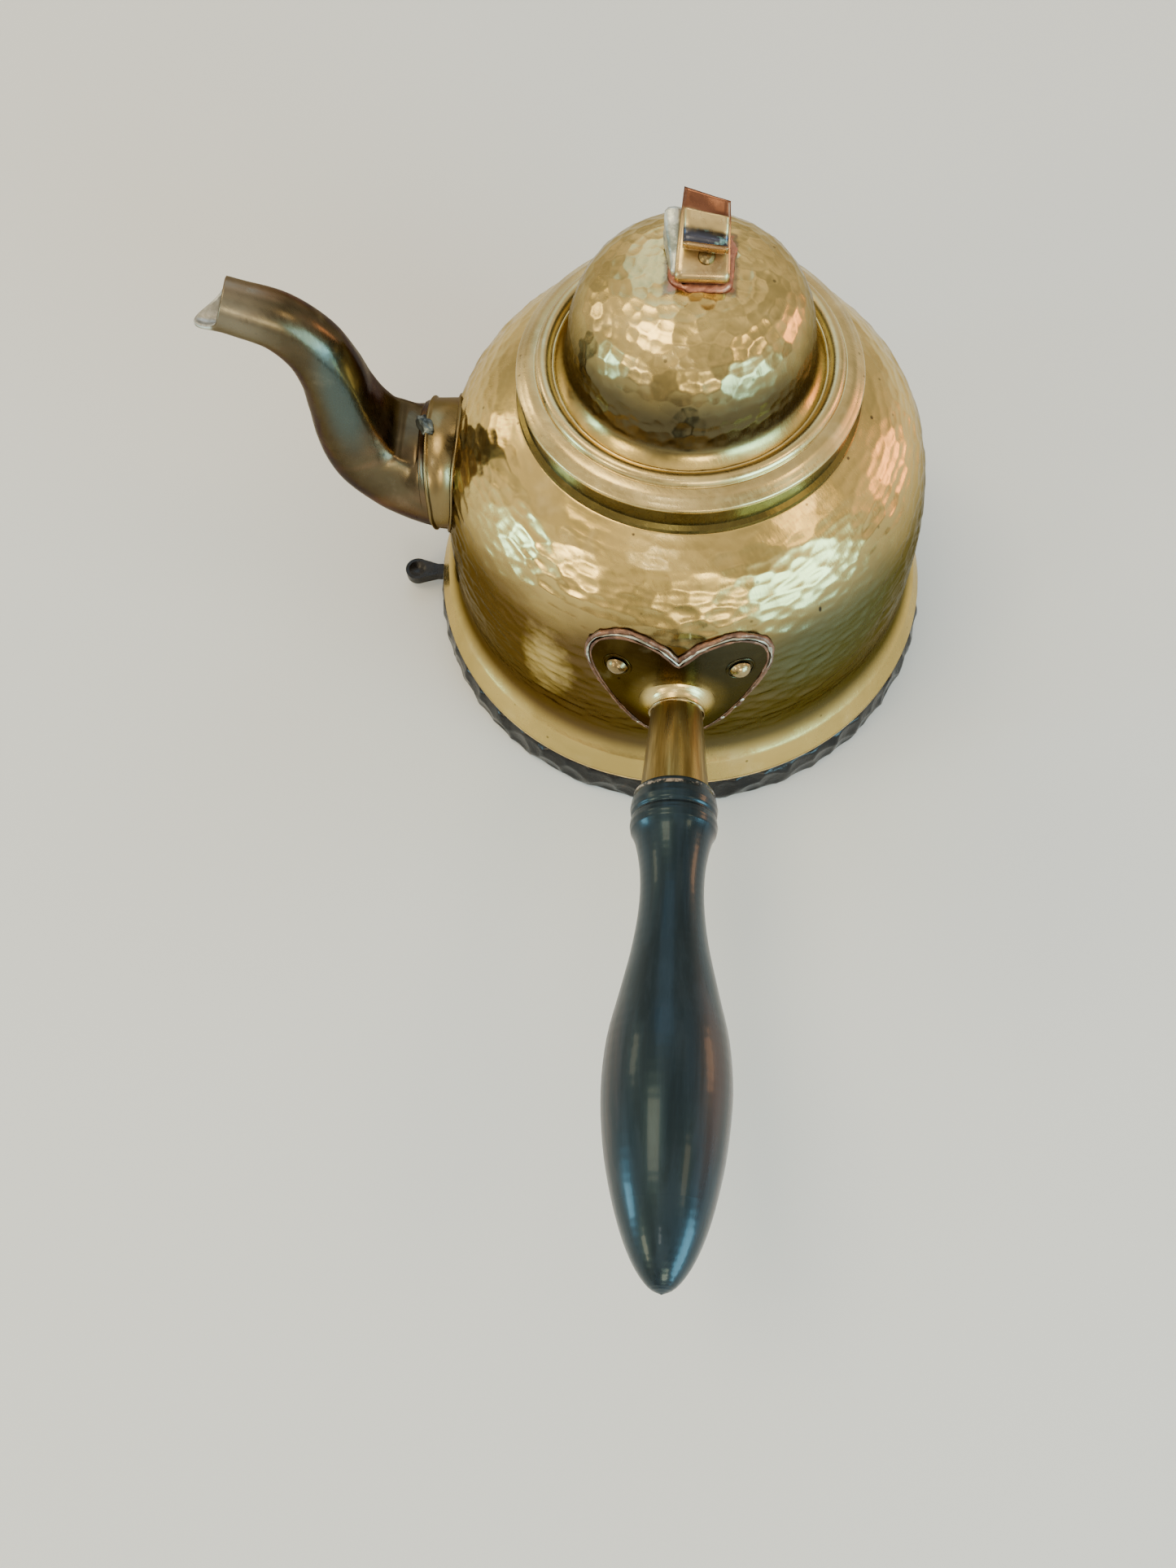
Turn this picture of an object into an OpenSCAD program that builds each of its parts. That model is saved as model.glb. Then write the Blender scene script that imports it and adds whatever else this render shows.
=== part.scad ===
// Hammered brass side-handled pot with a swan-neck spout, a lift-off domed lid
// and an iron stand ring. Millimetres, +Z up.
// The origin is on the pot's axis, at the surface that the stand ring stands on.
// The handle points to -Y and the spout to -X.

/* [Vessel] */
// Largest radius of the hammered wall
belly_r = 66; // [62:0.5:68]
// Radius of the foot's lower edge
foot_r = 72; // [71:0.5:76]
// Thickness of the sheet brass
sheet = 1.2; // [0.9:0.1:1.4]
// Outer radius of the upright neck
neck_r = 41.6; // [41:0.2:42.4]
// Height of the upright neck above the shoulder
neck_h = 6.8; // [5.6:0.2:8]

/* [Spout] */
// Height of the spout's root above the table
spout_z = 60; // [58:0.5:62]
// Outer radius of the spout at its root
spout_root_r = 17; // [16:0.5:18]
// Length of the pouring lip past the mouth
lip_l = 6.5; // [4:0.5:8]
// Radius of one strainer hole
strainer_r = 1.7; // [1.2:0.1:1.9]

/* [Handle] */
// Upward tilt of the handle in degrees
handle_tilt = 8; // [4:1:12]
// Height of the handle's root above the table
handle_z = 51.5; // [49:0.5:54]
// Length of the brass socket
socket_l = 28; // [26:0.5:30]
// Length of the turned grip
grip_l = 117; // [105:1:125]
// Largest radius of the turned grip
grip_r = 14.4; // [13:0.2:16]

/* [Lid] */
// Outer radius of the lid's brim
brim_r = 42.4; // [42:0.1:44]
// Largest radius of the hammered dome
dome_r = 29.4; // [28:0.2:30.4]
// Height of the dome above the brim's seat
dome_h = 33; // [30:0.5:36]
// Gap between the lid's sleeve and the neck
sleeve_gap = 0.6; // [0.4:0.1:0.9]

/* [Finial] */
// Width of the bent strap
strap_w = 11.4; // [10:0.2:13]
// Thickness of the strap
strap_t = 1.1; // [0.9:0.1:1.3]

/* [Stand ring] */
// Height of the iron ring
ring_h = 10; // [8:0.5:12]
// Outer radius of the iron ring at the table
ring_r = 73.6; // [73:0.2:76]
// Reach of the iron ring's thumb lug
lug_l = 11.5; // [9:0.5:14]

/* [Hidden] */
$fn = 96;

brass = "goldenrod";
old_brass = "darkgoldenrod";
copper = "rosybrown";
iron = "dimgray";
black_horn = "darkslategray";
tin = "silver";

// Heights of the vessel, from the table up
foot_z = ring_h + 1;
rim_top_z = foot_z + 7;
shoulder_z = foot_z + 81.6;
seat_z = shoulder_z + neck_h;
neck_in_r = neck_r - 1.4;
dish_drop = 1.8;
ring_in_r = foot_r - 2.8;
plate_t = 0.9;

// ---- curves ----

// One point of a Catmull-Rom curve between b and c
function curve_point(a, b, c, d, t) =
    0.5 * (2 * b + (c - a) * t + (2 * a - 5 * b + 4 * c - d) * t * t
    + (3 * b - a - 3 * c + d) * t * t * t);

// A smooth curve through points, with steps pieces between each two
function smooth(points, steps = 6) =
    let (last = len(points) - 1)
    concat([for (i = [0 : last - 1], k = [0 : steps - 1])
        curve_point(points[max(i - 1, 0)], points[i], points[i + 1],
            points[min(i + 2, last)], k / steps)], [points[last]]);

// The unit normal on the left of an open line at point i
function left_normal(line, i) =
    let (ahead = line[min(i + 1, len(line) - 1)] - line[max(i - 1, 0)])
    [-ahead[1], ahead[0]] / norm(ahead);

// An open line moved to its left by d
function beside(line, d) = [for (i = [0 : len(line) - 1]) line[i] + d * left_normal(line, i)];

function reversed(line) = [for (i = [len(line) - 1 : -1 : 0]) line[i]];

// The closed outline of a strip of thickness d on the left of a line
function strip(line, d) = concat(line, reversed(beside(line, d)));

// Points of an arc about centre, from angle a to angle b
function arc(centre, r, a, b, steps = 8) =
    [for (k = [0 : steps]) let (t = a + (b - a) * k / steps) centre + r * [cos(t), sin(t)]];

// ---- the vessel's outline ----

wall_curve = smooth([[foot_r - 4, rim_top_z], [belly_r, foot_z + 16], [belly_r + 0.3, foot_z + 31],
    [belly_r - 1.2, foot_z + 49], [belly_r - 5.2, foot_z + 64.5], [belly_r - 13.6, foot_z + 75.5],
    [neck_r + 1.3, shoulder_z]]);
wall_line = concat([[foot_r - 1.5, foot_z + 0.6]], wall_curve, [[neck_in_r, shoulder_z + 0.9]]);

// The vessel as a solid, with its skin moved out by grow
module vessel_solid(grow = 0) {
    rotate_extrude() polygon(concat([[0, foot_z + 2]], beside(wall_curve, -grow),
        [[0, shoulder_z + grow]]));
}

module spout_axis() {
    translate([0, 0, spout_z]) rotate([0, -90, 0]) children();
}

// Holes through the wall inside the spout's root: one in the middle and two rings round it
module strainer_holes() {
    pitch = 5.4;
    spout_axis() {
        for (ring = [0 : 2], i = [0 : max(0, 6 * ring - 1)])
            rotate([0, 0, 60 * i / max(1, ring)]) translate([pitch * ring, 0, 50])
                cylinder(r = strainer_r, h = 20, $fn = 24);
    }
}

// ---- stand ring ----

// The ring's outer side, from the table up
ring_side = [[ring_r - 0.8, 0], [ring_r, 1], [ring_r - 0.1, ring_h * 0.45],
    [ring_r - 0.7, ring_h * 0.8], [ring_r - 1.4, ring_h - 0.4], [ring_r - 1.9, ring_h]];

module trivet_ring() {
    color(iron) rotate_extrude() polygon(concat([[ring_in_r + 0.6, 0]], ring_side,
        [[ring_in_r, ring_h], [ring_in_r, ring_h - 2.5], [ring_in_r + 0.6, ring_h - 4]]));
}

// A spoon-shaped tab with a shallow dish, forged onto the ring's left side
module trivet_lug() {
    lug_z = ring_h * 0.32;
    lug_h = 3;
    lug_w = 3.7;
    neck = 1.9;
    bowl = [-ring_r - lug_l + lug_w, 0];
    dish_r = 2.7;
    dish_h = 0.8;
    ball_r = (dish_r * dish_r + dish_h * dish_h) / (2 * dish_h);
    color(iron) difference() {
        translate([0, 0, lug_z]) linear_extrude(lug_h) polygon(concat(
            [[-ring_r + 2, -neck], [-ring_r + 2, neck], [-ring_r - 1.5, neck]],
            arc(bowl, lug_w, 62, 298, 36), [[-ring_r - 1.5, -neck]]));
        rotate_extrude() polygon(concat([[0, 0]], ring_side, [[0, ring_h]]));
        translate([bowl[0], 0, lug_z + lug_h - dish_h + ball_r]) sphere(ball_r, $fn = 64);
    }
}

// ---- vessel ----

// The bottom sheet, with its edge folded up round the wall's flared lip
module base_pan() {
    bottom_z = ring_h - dish_drop;
    dish_r = ring_in_r - 0.5;
    top = [foot_r - 4, rim_top_z];
    color(brass) rotate_extrude() polygon(concat(
        [[0, bottom_z], [dish_r - 1.8, bottom_z], [dish_r, ring_h], [foot_r - 1, ring_h]],
        arc([foot_r - 1, ring_h + 1], 1, -90, 20, 6),
        [top + [0.75, 0.5], top + [0.3, 0.75], top,
        wall_line[0], beside(wall_line, sheet)[0], [dish_r - 1, ring_h + sheet],
        [dish_r - 2.8, bottom_z + sheet], [0, bottom_z + sheet]]));
}

// Height of the seam between the vessel's wall and its shoulder
seam_z = spout_z + 17;

// The vessel's sheet between two heights
module vessel_sheet(low, high) {
    intersection() {
        rotate_extrude() polygon(strip(wall_line, sheet));
        translate([0, 0, low]) cylinder(r = foot_r + 5, h = high - low);
    }
}

module vessel_wall() {
    color(brass) difference() {
        vessel_sheet(foot_z - 5, seam_z);
        strainer_holes();
        rivet_places() translate([0, 0, -5]) cylinder(r = 1.6, h = 10, $fn = 32);
    }
}

module vessel_shoulder() {
    color(brass) vessel_sheet(seam_z, shoulder_z + 5);
}

module neck_collar() {
    color(brass) rotate_extrude() polygon([[neck_in_r, shoulder_z + 0.9],
        [neck_r + 1.3, shoulder_z], [neck_r + 1.1, shoulder_z + 0.9],
        [neck_r, shoulder_z + 1.6], [neck_r, seat_z - 0.3], [neck_r - 0.3, seat_z],
        [neck_in_r, seat_z]]);
}

// ---- spout ----

collar_end = 68.2;
collar_in_r = spout_root_r - 1.6;

// The band that joins the spout to the wall, with a bead along each edge
module spout_collar() {
    bead = 0.8;
    color(old_brass) difference() {
        union() {
            spout_axis() rotate_extrude() polygon(concat([[collar_in_r, 50], [spout_root_r, 50]],
                arc([spout_root_r, collar_end - 3.4], bead, -90, 90),
                arc([spout_root_r, collar_end - bead], bead, -90, 90),
                [[collar_in_r, collar_end]]));
            intersection() {
                vessel_solid(0.8);
                spout_axis() translate([0, 0, 50]) cylinder(r = spout_root_r + 3.4, h = 30);
            }
        }
        vessel_solid();
        spout_axis() translate([0, 0, 40]) cylinder(r = collar_in_r, h = 40);
    }
}

// The spout's centre line as distance from the pot's axis, height and radius
spout_line = smooth([[collar_end, spout_z, spout_root_r],
    [73, spout_z + 1, spout_root_r - 1.4], [78.5, spout_z + 4.4, spout_root_r - 2.6],
    [83.6, spout_z + 10, 13.2], [86.2, spout_z + 17.5, 11.4], [87.6, spout_z + 26.5, 9.6],
    [88.8, spout_z + 36.5, 8.4], [91.8, spout_z + 46, 7.6], [97.8, spout_z + 53.6, 6.9],
    [106, spout_z + 57.8, 6.3], [110, spout_z + 59.6, 6.1]], 4);
spout_wall = 1.2;
spout_sides = 32;

// Unit direction of the centre line at ring i, in the spout's own plane. Near the root it is
// kept flat enough that no ring leans back over the collar.
function spout_way(i) =
    let (last = len(spout_line) - 1,
        here = spout_line[i],
        a = spout_line[max(i - 1, 0)],
        b = spout_line[min(i + 1, last)],
        rise = atan2(b[1] - a[1], b[0] - a[0]),
        limit = asin(min(1, 0.95 * (here[0] - collar_end) / here[2])),
        turn = min(rise, limit))
    [cos(turn), sin(turn)];

// How far the lip draws ring i forward at an angle t, where t = 180 is the underside
function lip_reach(i, t) =
    let (near = max(0, i - (len(spout_line) - 5)) / 4,
        low = max(0, -cos(t)))
    lip_l * near * near * low * low * low;

// One ring of the spout at a given wall depth
function spout_ring(i, depth) =
    let (p = spout_line[i], w = spout_way(i), r = p[2] - depth)
    [for (k = [0 : spout_sides - 1]) let (t = 360 * k / spout_sides, reach = lip_reach(i, t))
        [-(p[0] - w[1] * r * cos(t) + w[0] * reach), r * sin(t),
        p[1] + w[0] * r * cos(t) + w[1] * reach - 0.55 * reach]];

// The hollow spout between ring first and ring last
module spout_part(first, last) {
    n = last - first + 1;
    s = spout_sides;
    o = n * s;
    e = (n - 1) * s;
    outer = [for (i = [first : last]) each spout_ring(i, 0)];
    inner = [for (i = [first : last]) each spout_ring(i, spout_wall)];
    faces = concat(
        [for (i = [0 : n - 2], k = [0 : s - 1]) let (j = (k + 1) % s)
            [i * s + k, (i + 1) * s + k, (i + 1) * s + j, i * s + j]],
        [for (i = [0 : n - 2], k = [0 : s - 1]) let (j = (k + 1) % s)
            [o + i * s + k, o + i * s + j, o + (i + 1) * s + j, o + (i + 1) * s + k]],
        [for (k = [0 : s - 1]) let (j = (k + 1) % s) [k, j, o + j, o + k]],
        [for (k = [0 : s - 1]) let (j = (k + 1) % s) [e + k, o + e + k, o + e + j, e + j]]);
    color(old_brass) polyhedron(concat(outer, inner), faces, convexity = 6);
}

// Ring at which the spout's elbow ends and its swan neck begins
elbow_end = 16;

module spout_elbow() {
    spout_part(0, elbow_end);
}

module spout_neck() {
    spout_part(elbow_end, len(spout_line) - 1);
}

// ---- handle ----

// Local +Z runs out along the handle from the pot's wall
module handle_axis() {
    translate([0, -belly_r, handle_z]) rotate([90 - handle_tilt, 0, 0]) children();
}

// Half of the heart, from the notch down to the point, as [across, height]
heart_half = smooth([[0, handle_z + 15.5], [5.5, handle_z + 20.6], [13.5, handle_z + 22.8],
    [20.4, handle_z + 19.8], [22.4, handle_z + 13], [18.6, handle_z + 2.5],
    [10.6, handle_z - 11.5], [0, handle_z - 23]]);

module heart(grow = 0) {
    half = beside(heart_half, grow);
    side = concat([[0, half[0][1]]], [for (p = half) if (p[0] > 0.3) p],
        [[0, half[len(half) - 1][1] - grow * 0.6]]);
    polygon(concat(side, [for (p = reversed(side)) if (p[0] > 0) [-p[0], p[1]]]));
}

// A heart-shaped tile that hugs the wall, from low to high above its skin
module heart_tile(grow, low, high) {
    difference() {
        intersection() {
            vessel_solid(high);
            rotate([90, 0, 0]) linear_extrude(100) heart(grow);
        }
        vessel_solid(low);
    }
}

rivet_turn = 13.7;
rivet_z = handle_z + 12.6;
rivet_lean = 8;

// Both rivet places, with local +Z out of the wall and the origin on its skin
module rivet_places() {
    for (side = [-1, 1]) rotate([0, 0, side * rivet_turn]) translate([0, -belly_r + 1.9, rivet_z])
        rotate([90 - rivet_lean, 0, 0]) children();
}

socket_r0 = 6.3;
socket_r1 = 8.5;
socket_wall = 0.9;
function socket_r(s) = socket_r0 + (socket_r1 - socket_r0) * s / socket_l;

module handle_plate() {
    swell = 4;
    color(brass) difference() {
        union() {
            heart_tile(0, 0, plate_t);
            handle_axis() rotate_extrude() polygon(concat([[0, -6], [socket_r0 + swell, -6]],
                arc([socket_r0 + swell + 0.2, swell + 0.3], swell, 260, 180), [[0, swell + 0.3]]));
        }
        vessel_solid();
        handle_axis() rotate_extrude() polygon([[0, -8], [socket_r(-8), -8], [socket_r(8), 8],
            [0, 8]]);
        rivet_places() translate([0, 0, -5]) cylinder(r = 1.6, h = 10, $fn = 32);
    }
}

// The raised copper-coloured braze line round the plate
module plate_braze() {
    color(copper) difference() {
        heart_tile(1.2, 0, 0.6);
        rotate([90, 0, 0]) linear_extrude(100) heart(0);
    }
}

module handle_rivets() {
    head_r = 2.7;
    color(brass) rivet_places() rotate_extrude($fn = 48) polygon(concat(
        [[0, -sheet - 1.1], [2.3, -sheet - 0.9], [2.5, -sheet - 0.3], [1.6, -sheet - 0.3],
        [1.6, plate_t + 0.25], [head_r, plate_t + 0.25]],
        arc([0, plate_t - 0.9], 2.95, 24, 90)));
}

module handle_socket() {
    color(old_brass) difference() {
        handle_axis() rotate_extrude() polygon([[socket_r(-6) - socket_wall, -6],
            [socket_r(-6), -6], [socket_r(socket_l), socket_l],
            [socket_r(socket_l) - socket_wall, socket_l]]);
        vessel_solid();
        pin_place() cylinder(r = pin_r, h = 8, $fn = 32);
    }
}

pin_r = 1.1;
pin_s = 20;

// The pin's place: local +Z runs down from inside the tenon to the socket's underside
module pin_place() {
    handle_axis() translate([0, 0, pin_s]) rotate([90, 0, 0]) translate([0, 0, 2]) children();
}

// The grip's outline from its shoulder, past the bead, waist and bulge, to its tip
grip_front = [[socket_r1 + 0.2, 0], [socket_r1 + 1.4, 0.7], [10.5, 3], [10.8, 5], [10.6, 6.6],
    [10.15, 7.4], [10.6, 8.2], [10.8, 9.8], [10.5, 11.4]];
grip_back = smooth([[10.5, 11.4], [9.2, 14.5], [7.9, 21.5], [7.7, 30], [8.8, 40.5],
    [grip_r * 0.78, 52.5], [grip_r * 0.95, 64], [grip_r, 75.5], [grip_r * 0.93, 87.5],
    [grip_r * 0.79, 97.5], [grip_r * 0.62, 105.5], [grip_r * 0.42, 111.6], [grip_r * 0.2, 115.6],
    [0, 117]], 4);

module handle_grip() {
    stretch = grip_l / 117;
    tenon_s = 9;
    tenon_gap = 0.1;
    color(black_horn) difference() {
        handle_axis() rotate_extrude() polygon(concat(
            [[0, tenon_s], [socket_r(tenon_s) - socket_wall - tenon_gap, tenon_s],
            [socket_r(socket_l) - socket_wall - tenon_gap, socket_l]],
            [for (p = concat(grip_front, grip_back)) [max(p[0], 0), socket_l + p[1] * stretch]]));
        pin_place() cylinder(r = pin_r, h = 8, $fn = 32);
    }
}

module grip_pin() {
    reach = socket_r(pin_s) - 2;
    color(brass) pin_place() {
        cylinder(r = pin_r, h = reach, $fn = 32);
        translate([0, 0, reach]) cylinder(r1 = pin_r, r2 = pin_r * 0.6, h = 0.3, $fn = 32);
    }
}

// ---- lid ----

dome_foot_r = 33.2;
dome_foot_z = seat_z + 3.6;
sleeve_r = neck_in_r - sleeve_gap;

// The lid's rolled brim: flat seat, round edge, convex band and a half-round bead
module lid_brim() {
    bead = 2.0;
    color(brass) rotate_extrude() polygon(concat(
        [[sleeve_r - 1, seat_z], [brim_r - 0.5, seat_z]],
        arc([brim_r - 0.9, seat_z + 0.9], 0.9, -60, 60, 5),
        smooth([[brim_r - 1.1, seat_z + 2.1], [brim_r - 2.8, seat_z + 3.2],
            [brim_r - 4.8, seat_z + 3.8]], 4),
        arc([dome_foot_r + bead + 0.3, seat_z + 3.7], bead, 10, 170),
        [[dome_foot_r, seat_z + 3.6], [dome_foot_r, seat_z + 2.6], [dome_foot_r + 1.4, seat_z + 2.6],
        [sleeve_r - 1.2, seat_z + 2.4]]));
}

dome_curve = smooth([[dome_foot_r, dome_foot_z], [dome_r + 0.8, seat_z + 7],
    [dome_r, seat_z + 12.2], [dome_r * 0.965, seat_z + dome_h * 0.56],
    [dome_r * 0.84, seat_z + dome_h * 0.78], [dome_r * 0.6, seat_z + dome_h * 0.925],
    [dome_r * 0.3, seat_z + dome_h * 0.985], [0, seat_z + dome_h]]);

module dome_solid() {
    rotate_extrude() polygon(concat([[0, dome_foot_z]],
        [for (p = dome_curve) [max(p[0], 0), p[1]]]));
}

module lid_dome() {
    inner = beside(dome_curve, 1);
    color(brass) rotate_extrude() polygon(concat(
        [for (p = dome_curve) [max(p[0], 0), p[1]]],
        [[0, seat_z + dome_h - 1]],
        [for (p = reversed(inner)) if (p[0] > 1) p],
        [[dome_foot_r - 0.9, seat_z + 2.6], [dome_foot_r, seat_z + 2.6]]));
}

module lid_bezel() {
    sleeve_h = 10.5;
    color(brass) rotate_extrude() polygon([[sleeve_r - 1, seat_z], [sleeve_r, seat_z],
        [sleeve_r, seat_z - sleeve_h + 0.8], [sleeve_r - 0.5, seat_z - sleeve_h],
        [sleeve_r - 1, seat_z - sleeve_h]]);
}

// ---- finial ----

top_z = seat_z + dome_h;
strap_x = 1.6;
strap_z = top_z + 0.15;
fold_r = 2;
fold_c = [-4, strap_z + fold_r];

// Slope of the leg that rises from the front fold to the back
leg_slope = 28;
leg_way = [cos(leg_slope), sin(leg_slope)];
leg_start = fold_c + fold_r * [-leg_way[1], leg_way[0]];

// Extrudes an outline drawn as [y, z] along X, centred on the strap
module across_strap(width = strap_w, shift = 0) {
    translate([strap_x + shift + width / 2, 0, 0]) rotate([90, 0, -90])
        linear_extrude(width) mirror([1, 0]) children();
}

// The strap in side view: foot on the dome, front fold, and the rising leg
strap_line = concat([[9, strap_z]], reversed(arc(fold_c, fold_r, 90 + leg_slope, 270)),
    smooth([leg_start + 5.5 * leg_way, leg_start + 8.8 * leg_way + [0, 0.3],
    [6.2, strap_z + 10.6], [9, strap_z + 13.6]], 4));

// The rivet's place on the leg, with local +Z out of it
module rivet_on_leg() {
    place = leg_start + 3.1 * leg_way;
    translate([strap_x + 0.8, place[0], place[1]]) rotate([leg_slope, 0, 0]) children();
}

finial_rivet_r = 0.8;

module finial_strap() {
    color(brass) difference() {
        across_strap() polygon(strip(strap_line, -strap_t));
        rivet_on_leg() translate([0, 0, -1.6]) cylinder(r = finial_rivet_r, h = 3.2, $fn = 40);
    }
}

// An open curl of strip standing on the strap, with its back drawn up to a thumb edge
scroll_r = 3.3;
scroll_c = [0.2, strap_z + 9.9];
scroll_line = concat(arc(scroll_c, scroll_r, 180, 350, 12), [[3.8, strap_z + 11.8],
    [4.5, strap_z + 12.9], [5.7, strap_z + 13.5]]);

module finial_scroll() {
    color(old_brass) difference() {
        across_strap(strap_w - 1.2) polygon(strip(scroll_line, strap_t * 0.8));
        across_strap() polygon(strip(strap_line, -strap_t));
    }
}

module finial_rivet() {
    head = [[1.9, 0], [1.7, 0.5], [1, 0.85], [0, 1]];
    tail = strap_t + 0.05;
    color(old_brass) rivet_on_leg() rotate_extrude($fn = 40) polygon(concat(
        [[0, -tail - 0.7], [1.3, -tail - 0.5], [1.6, -tail], [finial_rivet_r, -tail],
        [finial_rivet_r, 0]], head));
}

// Solder under the strap's foot and in the wedge between foot and leg
module finial_solder() {
    left = strap_w / 2 + 1.6;
    wedge = 2.4;
    color(tin) difference() {
        union() {
            translate([strap_x - left, -5.4, strap_z - 3]) cube([left + strap_w / 2 + 0.7, 15.2, 3]);
            across_strap(wedge, -strap_w / 2 + 0.5) polygon([[9, strap_z - 0.1],
                [-3.4, strap_z - 0.1], [-3.4, strap_z + 2.2], [2.2, strap_z + 5.6],
                [5, strap_z + 7.4], [9, strap_z + 11.2]]);
        }
        dome_solid();
        across_strap(strap_w) polygon(strip(strap_line, -strap_t));
    }
}

trivet_ring();
trivet_lug();
base_pan();
vessel_wall();
vessel_shoulder();
neck_collar();
spout_collar();
spout_elbow();
spout_neck();
handle_plate();
plate_braze();
handle_rivets();
handle_socket();
handle_grip();
grip_pin();
lid_brim();
lid_dome();
lid_bezel();
finial_solder();
finial_strap();
finial_scroll();
finial_rivet();
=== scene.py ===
# Looks for the hammered brass side-handled pot. Metres, in the CAD frame: the origin is on the
# pot's axis on the table, the handle points to -Y and the spout to -X.
import math
import random

import bmesh
import bpy
import numpy as np
from mathutils import Matrix, Vector
from mathutils.bvhtree import BVHTree
from mathutils.kdtree import KDTree


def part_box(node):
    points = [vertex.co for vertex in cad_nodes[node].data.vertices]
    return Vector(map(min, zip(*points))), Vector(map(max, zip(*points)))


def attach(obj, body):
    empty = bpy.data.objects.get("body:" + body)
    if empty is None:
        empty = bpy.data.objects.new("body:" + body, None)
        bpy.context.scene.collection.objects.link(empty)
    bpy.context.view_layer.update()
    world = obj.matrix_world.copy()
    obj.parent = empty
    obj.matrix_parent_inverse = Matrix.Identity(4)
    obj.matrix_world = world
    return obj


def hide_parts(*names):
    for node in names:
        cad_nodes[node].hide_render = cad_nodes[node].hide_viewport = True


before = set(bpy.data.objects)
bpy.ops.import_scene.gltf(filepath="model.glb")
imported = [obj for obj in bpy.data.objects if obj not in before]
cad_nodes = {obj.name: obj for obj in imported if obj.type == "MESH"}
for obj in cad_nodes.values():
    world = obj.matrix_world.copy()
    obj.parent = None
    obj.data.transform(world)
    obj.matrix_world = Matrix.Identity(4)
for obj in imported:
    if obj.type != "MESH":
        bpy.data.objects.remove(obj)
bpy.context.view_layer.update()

MM = 0.001


# ---------------------------------------------------------------- geometry helpers

def polar(r, azimuth, z):
    """A point at azimuth degrees from -Y towards +X."""
    a = math.radians(azimuth)
    return Vector((r * math.sin(a), -r * math.cos(a), z))


def arc(cx, cy, r, a, b, steps):
    """Points of an arc from angle a to angle b, in degrees."""
    return [(cx + r * math.cos(math.radians(a + (b - a) * k / steps)),
             cy + r * math.sin(math.radians(a + (b - a) * k / steps))) for k in range(steps + 1)]


def turns(n):
    """n equal steps of a full turn, in radians."""
    return [2 * math.pi * k / n for k in range(n)]


def spline(points, steps):
    """Catmull-Rom curve through points of any dimension."""
    p = [np.array(q, float) for q in points]
    last = len(p) - 1
    out = []
    for i in range(last):
        a, b, c, d = p[max(i - 1, 0)], p[i], p[i + 1], p[min(i + 2, last)]
        for k in range(steps):
            t = k / steps
            out.append(0.5 * (2 * b + (c - a) * t + (2 * a - 5 * b + 4 * c - d) * t * t
                              + (3 * b - a - 3 * c + d) * t ** 3))
    out.append(p[last])
    return np.array(out)


def resample(line, n):
    """n points at equal steps along a polyline."""
    line = np.array(line, float)
    s = np.r_[0, np.cumsum(np.linalg.norm(np.diff(line, axis=0), axis=1))]
    t = np.linspace(0, s[-1], n)
    return np.stack([np.interp(t, s, line[:, k]) for k in range(line.shape[1])], 1)


def normals_2d(line):
    """Unit normals on the right of a 2-D line."""
    d = np.gradient(line, axis=0)
    d /= np.linalg.norm(d, axis=1)[:, None]
    return np.stack([d[:, 1], -d[:, 0]], 1)


def placed(name, mesh, body, nodes=()):
    """Adds a mesh to the scene as a piece that rides on a body."""
    obj = bpy.data.objects.new(name, mesh)
    bpy.context.scene.collection.objects.link(obj)
    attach(obj, body)
    if nodes:
        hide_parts(*nodes)
    return obj


def make(name, verts, faces, body, nodes=()):
    """A smooth-shaded piece from plain vertices and faces."""
    mesh = bpy.data.meshes.new(name)
    mesh.from_pydata([tuple(v) for v in verts], [], faces)
    bm = bmesh.new()
    bm.from_mesh(mesh)
    bmesh.ops.remove_doubles(bm, verts=bm.verts, dist=2e-6)
    bmesh.ops.recalc_face_normals(bm, faces=bm.faces)
    bm.to_mesh(mesh)
    bm.free()
    mesh.shade_smooth()
    return placed(name, mesh, body, nodes)


def grid_faces(rows, cols, wrap_rows=False):
    """Quads of a grid whose vertex (i, k) has index i * cols + k, and whose columns close up."""
    out = []
    for i in range(rows if wrap_rows else rows - 1):
        j = (i + 1) % rows
        for k in range(cols):
            m = (k + 1) % cols
            out.append((i * cols + k, i * cols + m, j * cols + m, j * cols + k))
    return out


def turned(rings, cols, axis=None):
    """Vertices of a body of revolution. rings is a list of (radius, height), or an array of
    shape (rows, cols, 2). axis is a matrix from the piece's own frame to the scene's."""
    rings = np.array(rings, float)
    if rings.ndim == 2:
        rings = np.repeat(rings[:, None, :], cols, 1)
    t = np.linspace(0, 2 * math.pi, cols, endpoint=False)
    v = np.stack([rings[..., 0] * np.sin(t), -rings[..., 0] * np.cos(t), rings[..., 1]], -1)
    v = v.reshape(-1, 3)
    if axis is not None:
        m = np.array(axis)
        v = v @ m[:3, :3].T + m[:3, 3]
    return v


def soft_noise(points, size, seed, octaves=2):
    """Smooth seeded noise in about -1..1 for points in metres; size is the blob size in metres."""
    rng = np.random.default_rng(seed)
    total = np.zeros(len(points))
    for o in range(octaves):
        k = rng.normal(size=(3, 28))
        k *= (2 * math.pi / (size * 2.2)) * (2 ** o) / np.linalg.norm(k, axis=0)
        k *= rng.uniform(0.6, 1.3, 28)
        total += np.cos(points @ k + rng.uniform(0, 6.28, 28)).sum(1) / 28 ** 0.5 / (1.6 * 2 ** o)
    return total


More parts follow.
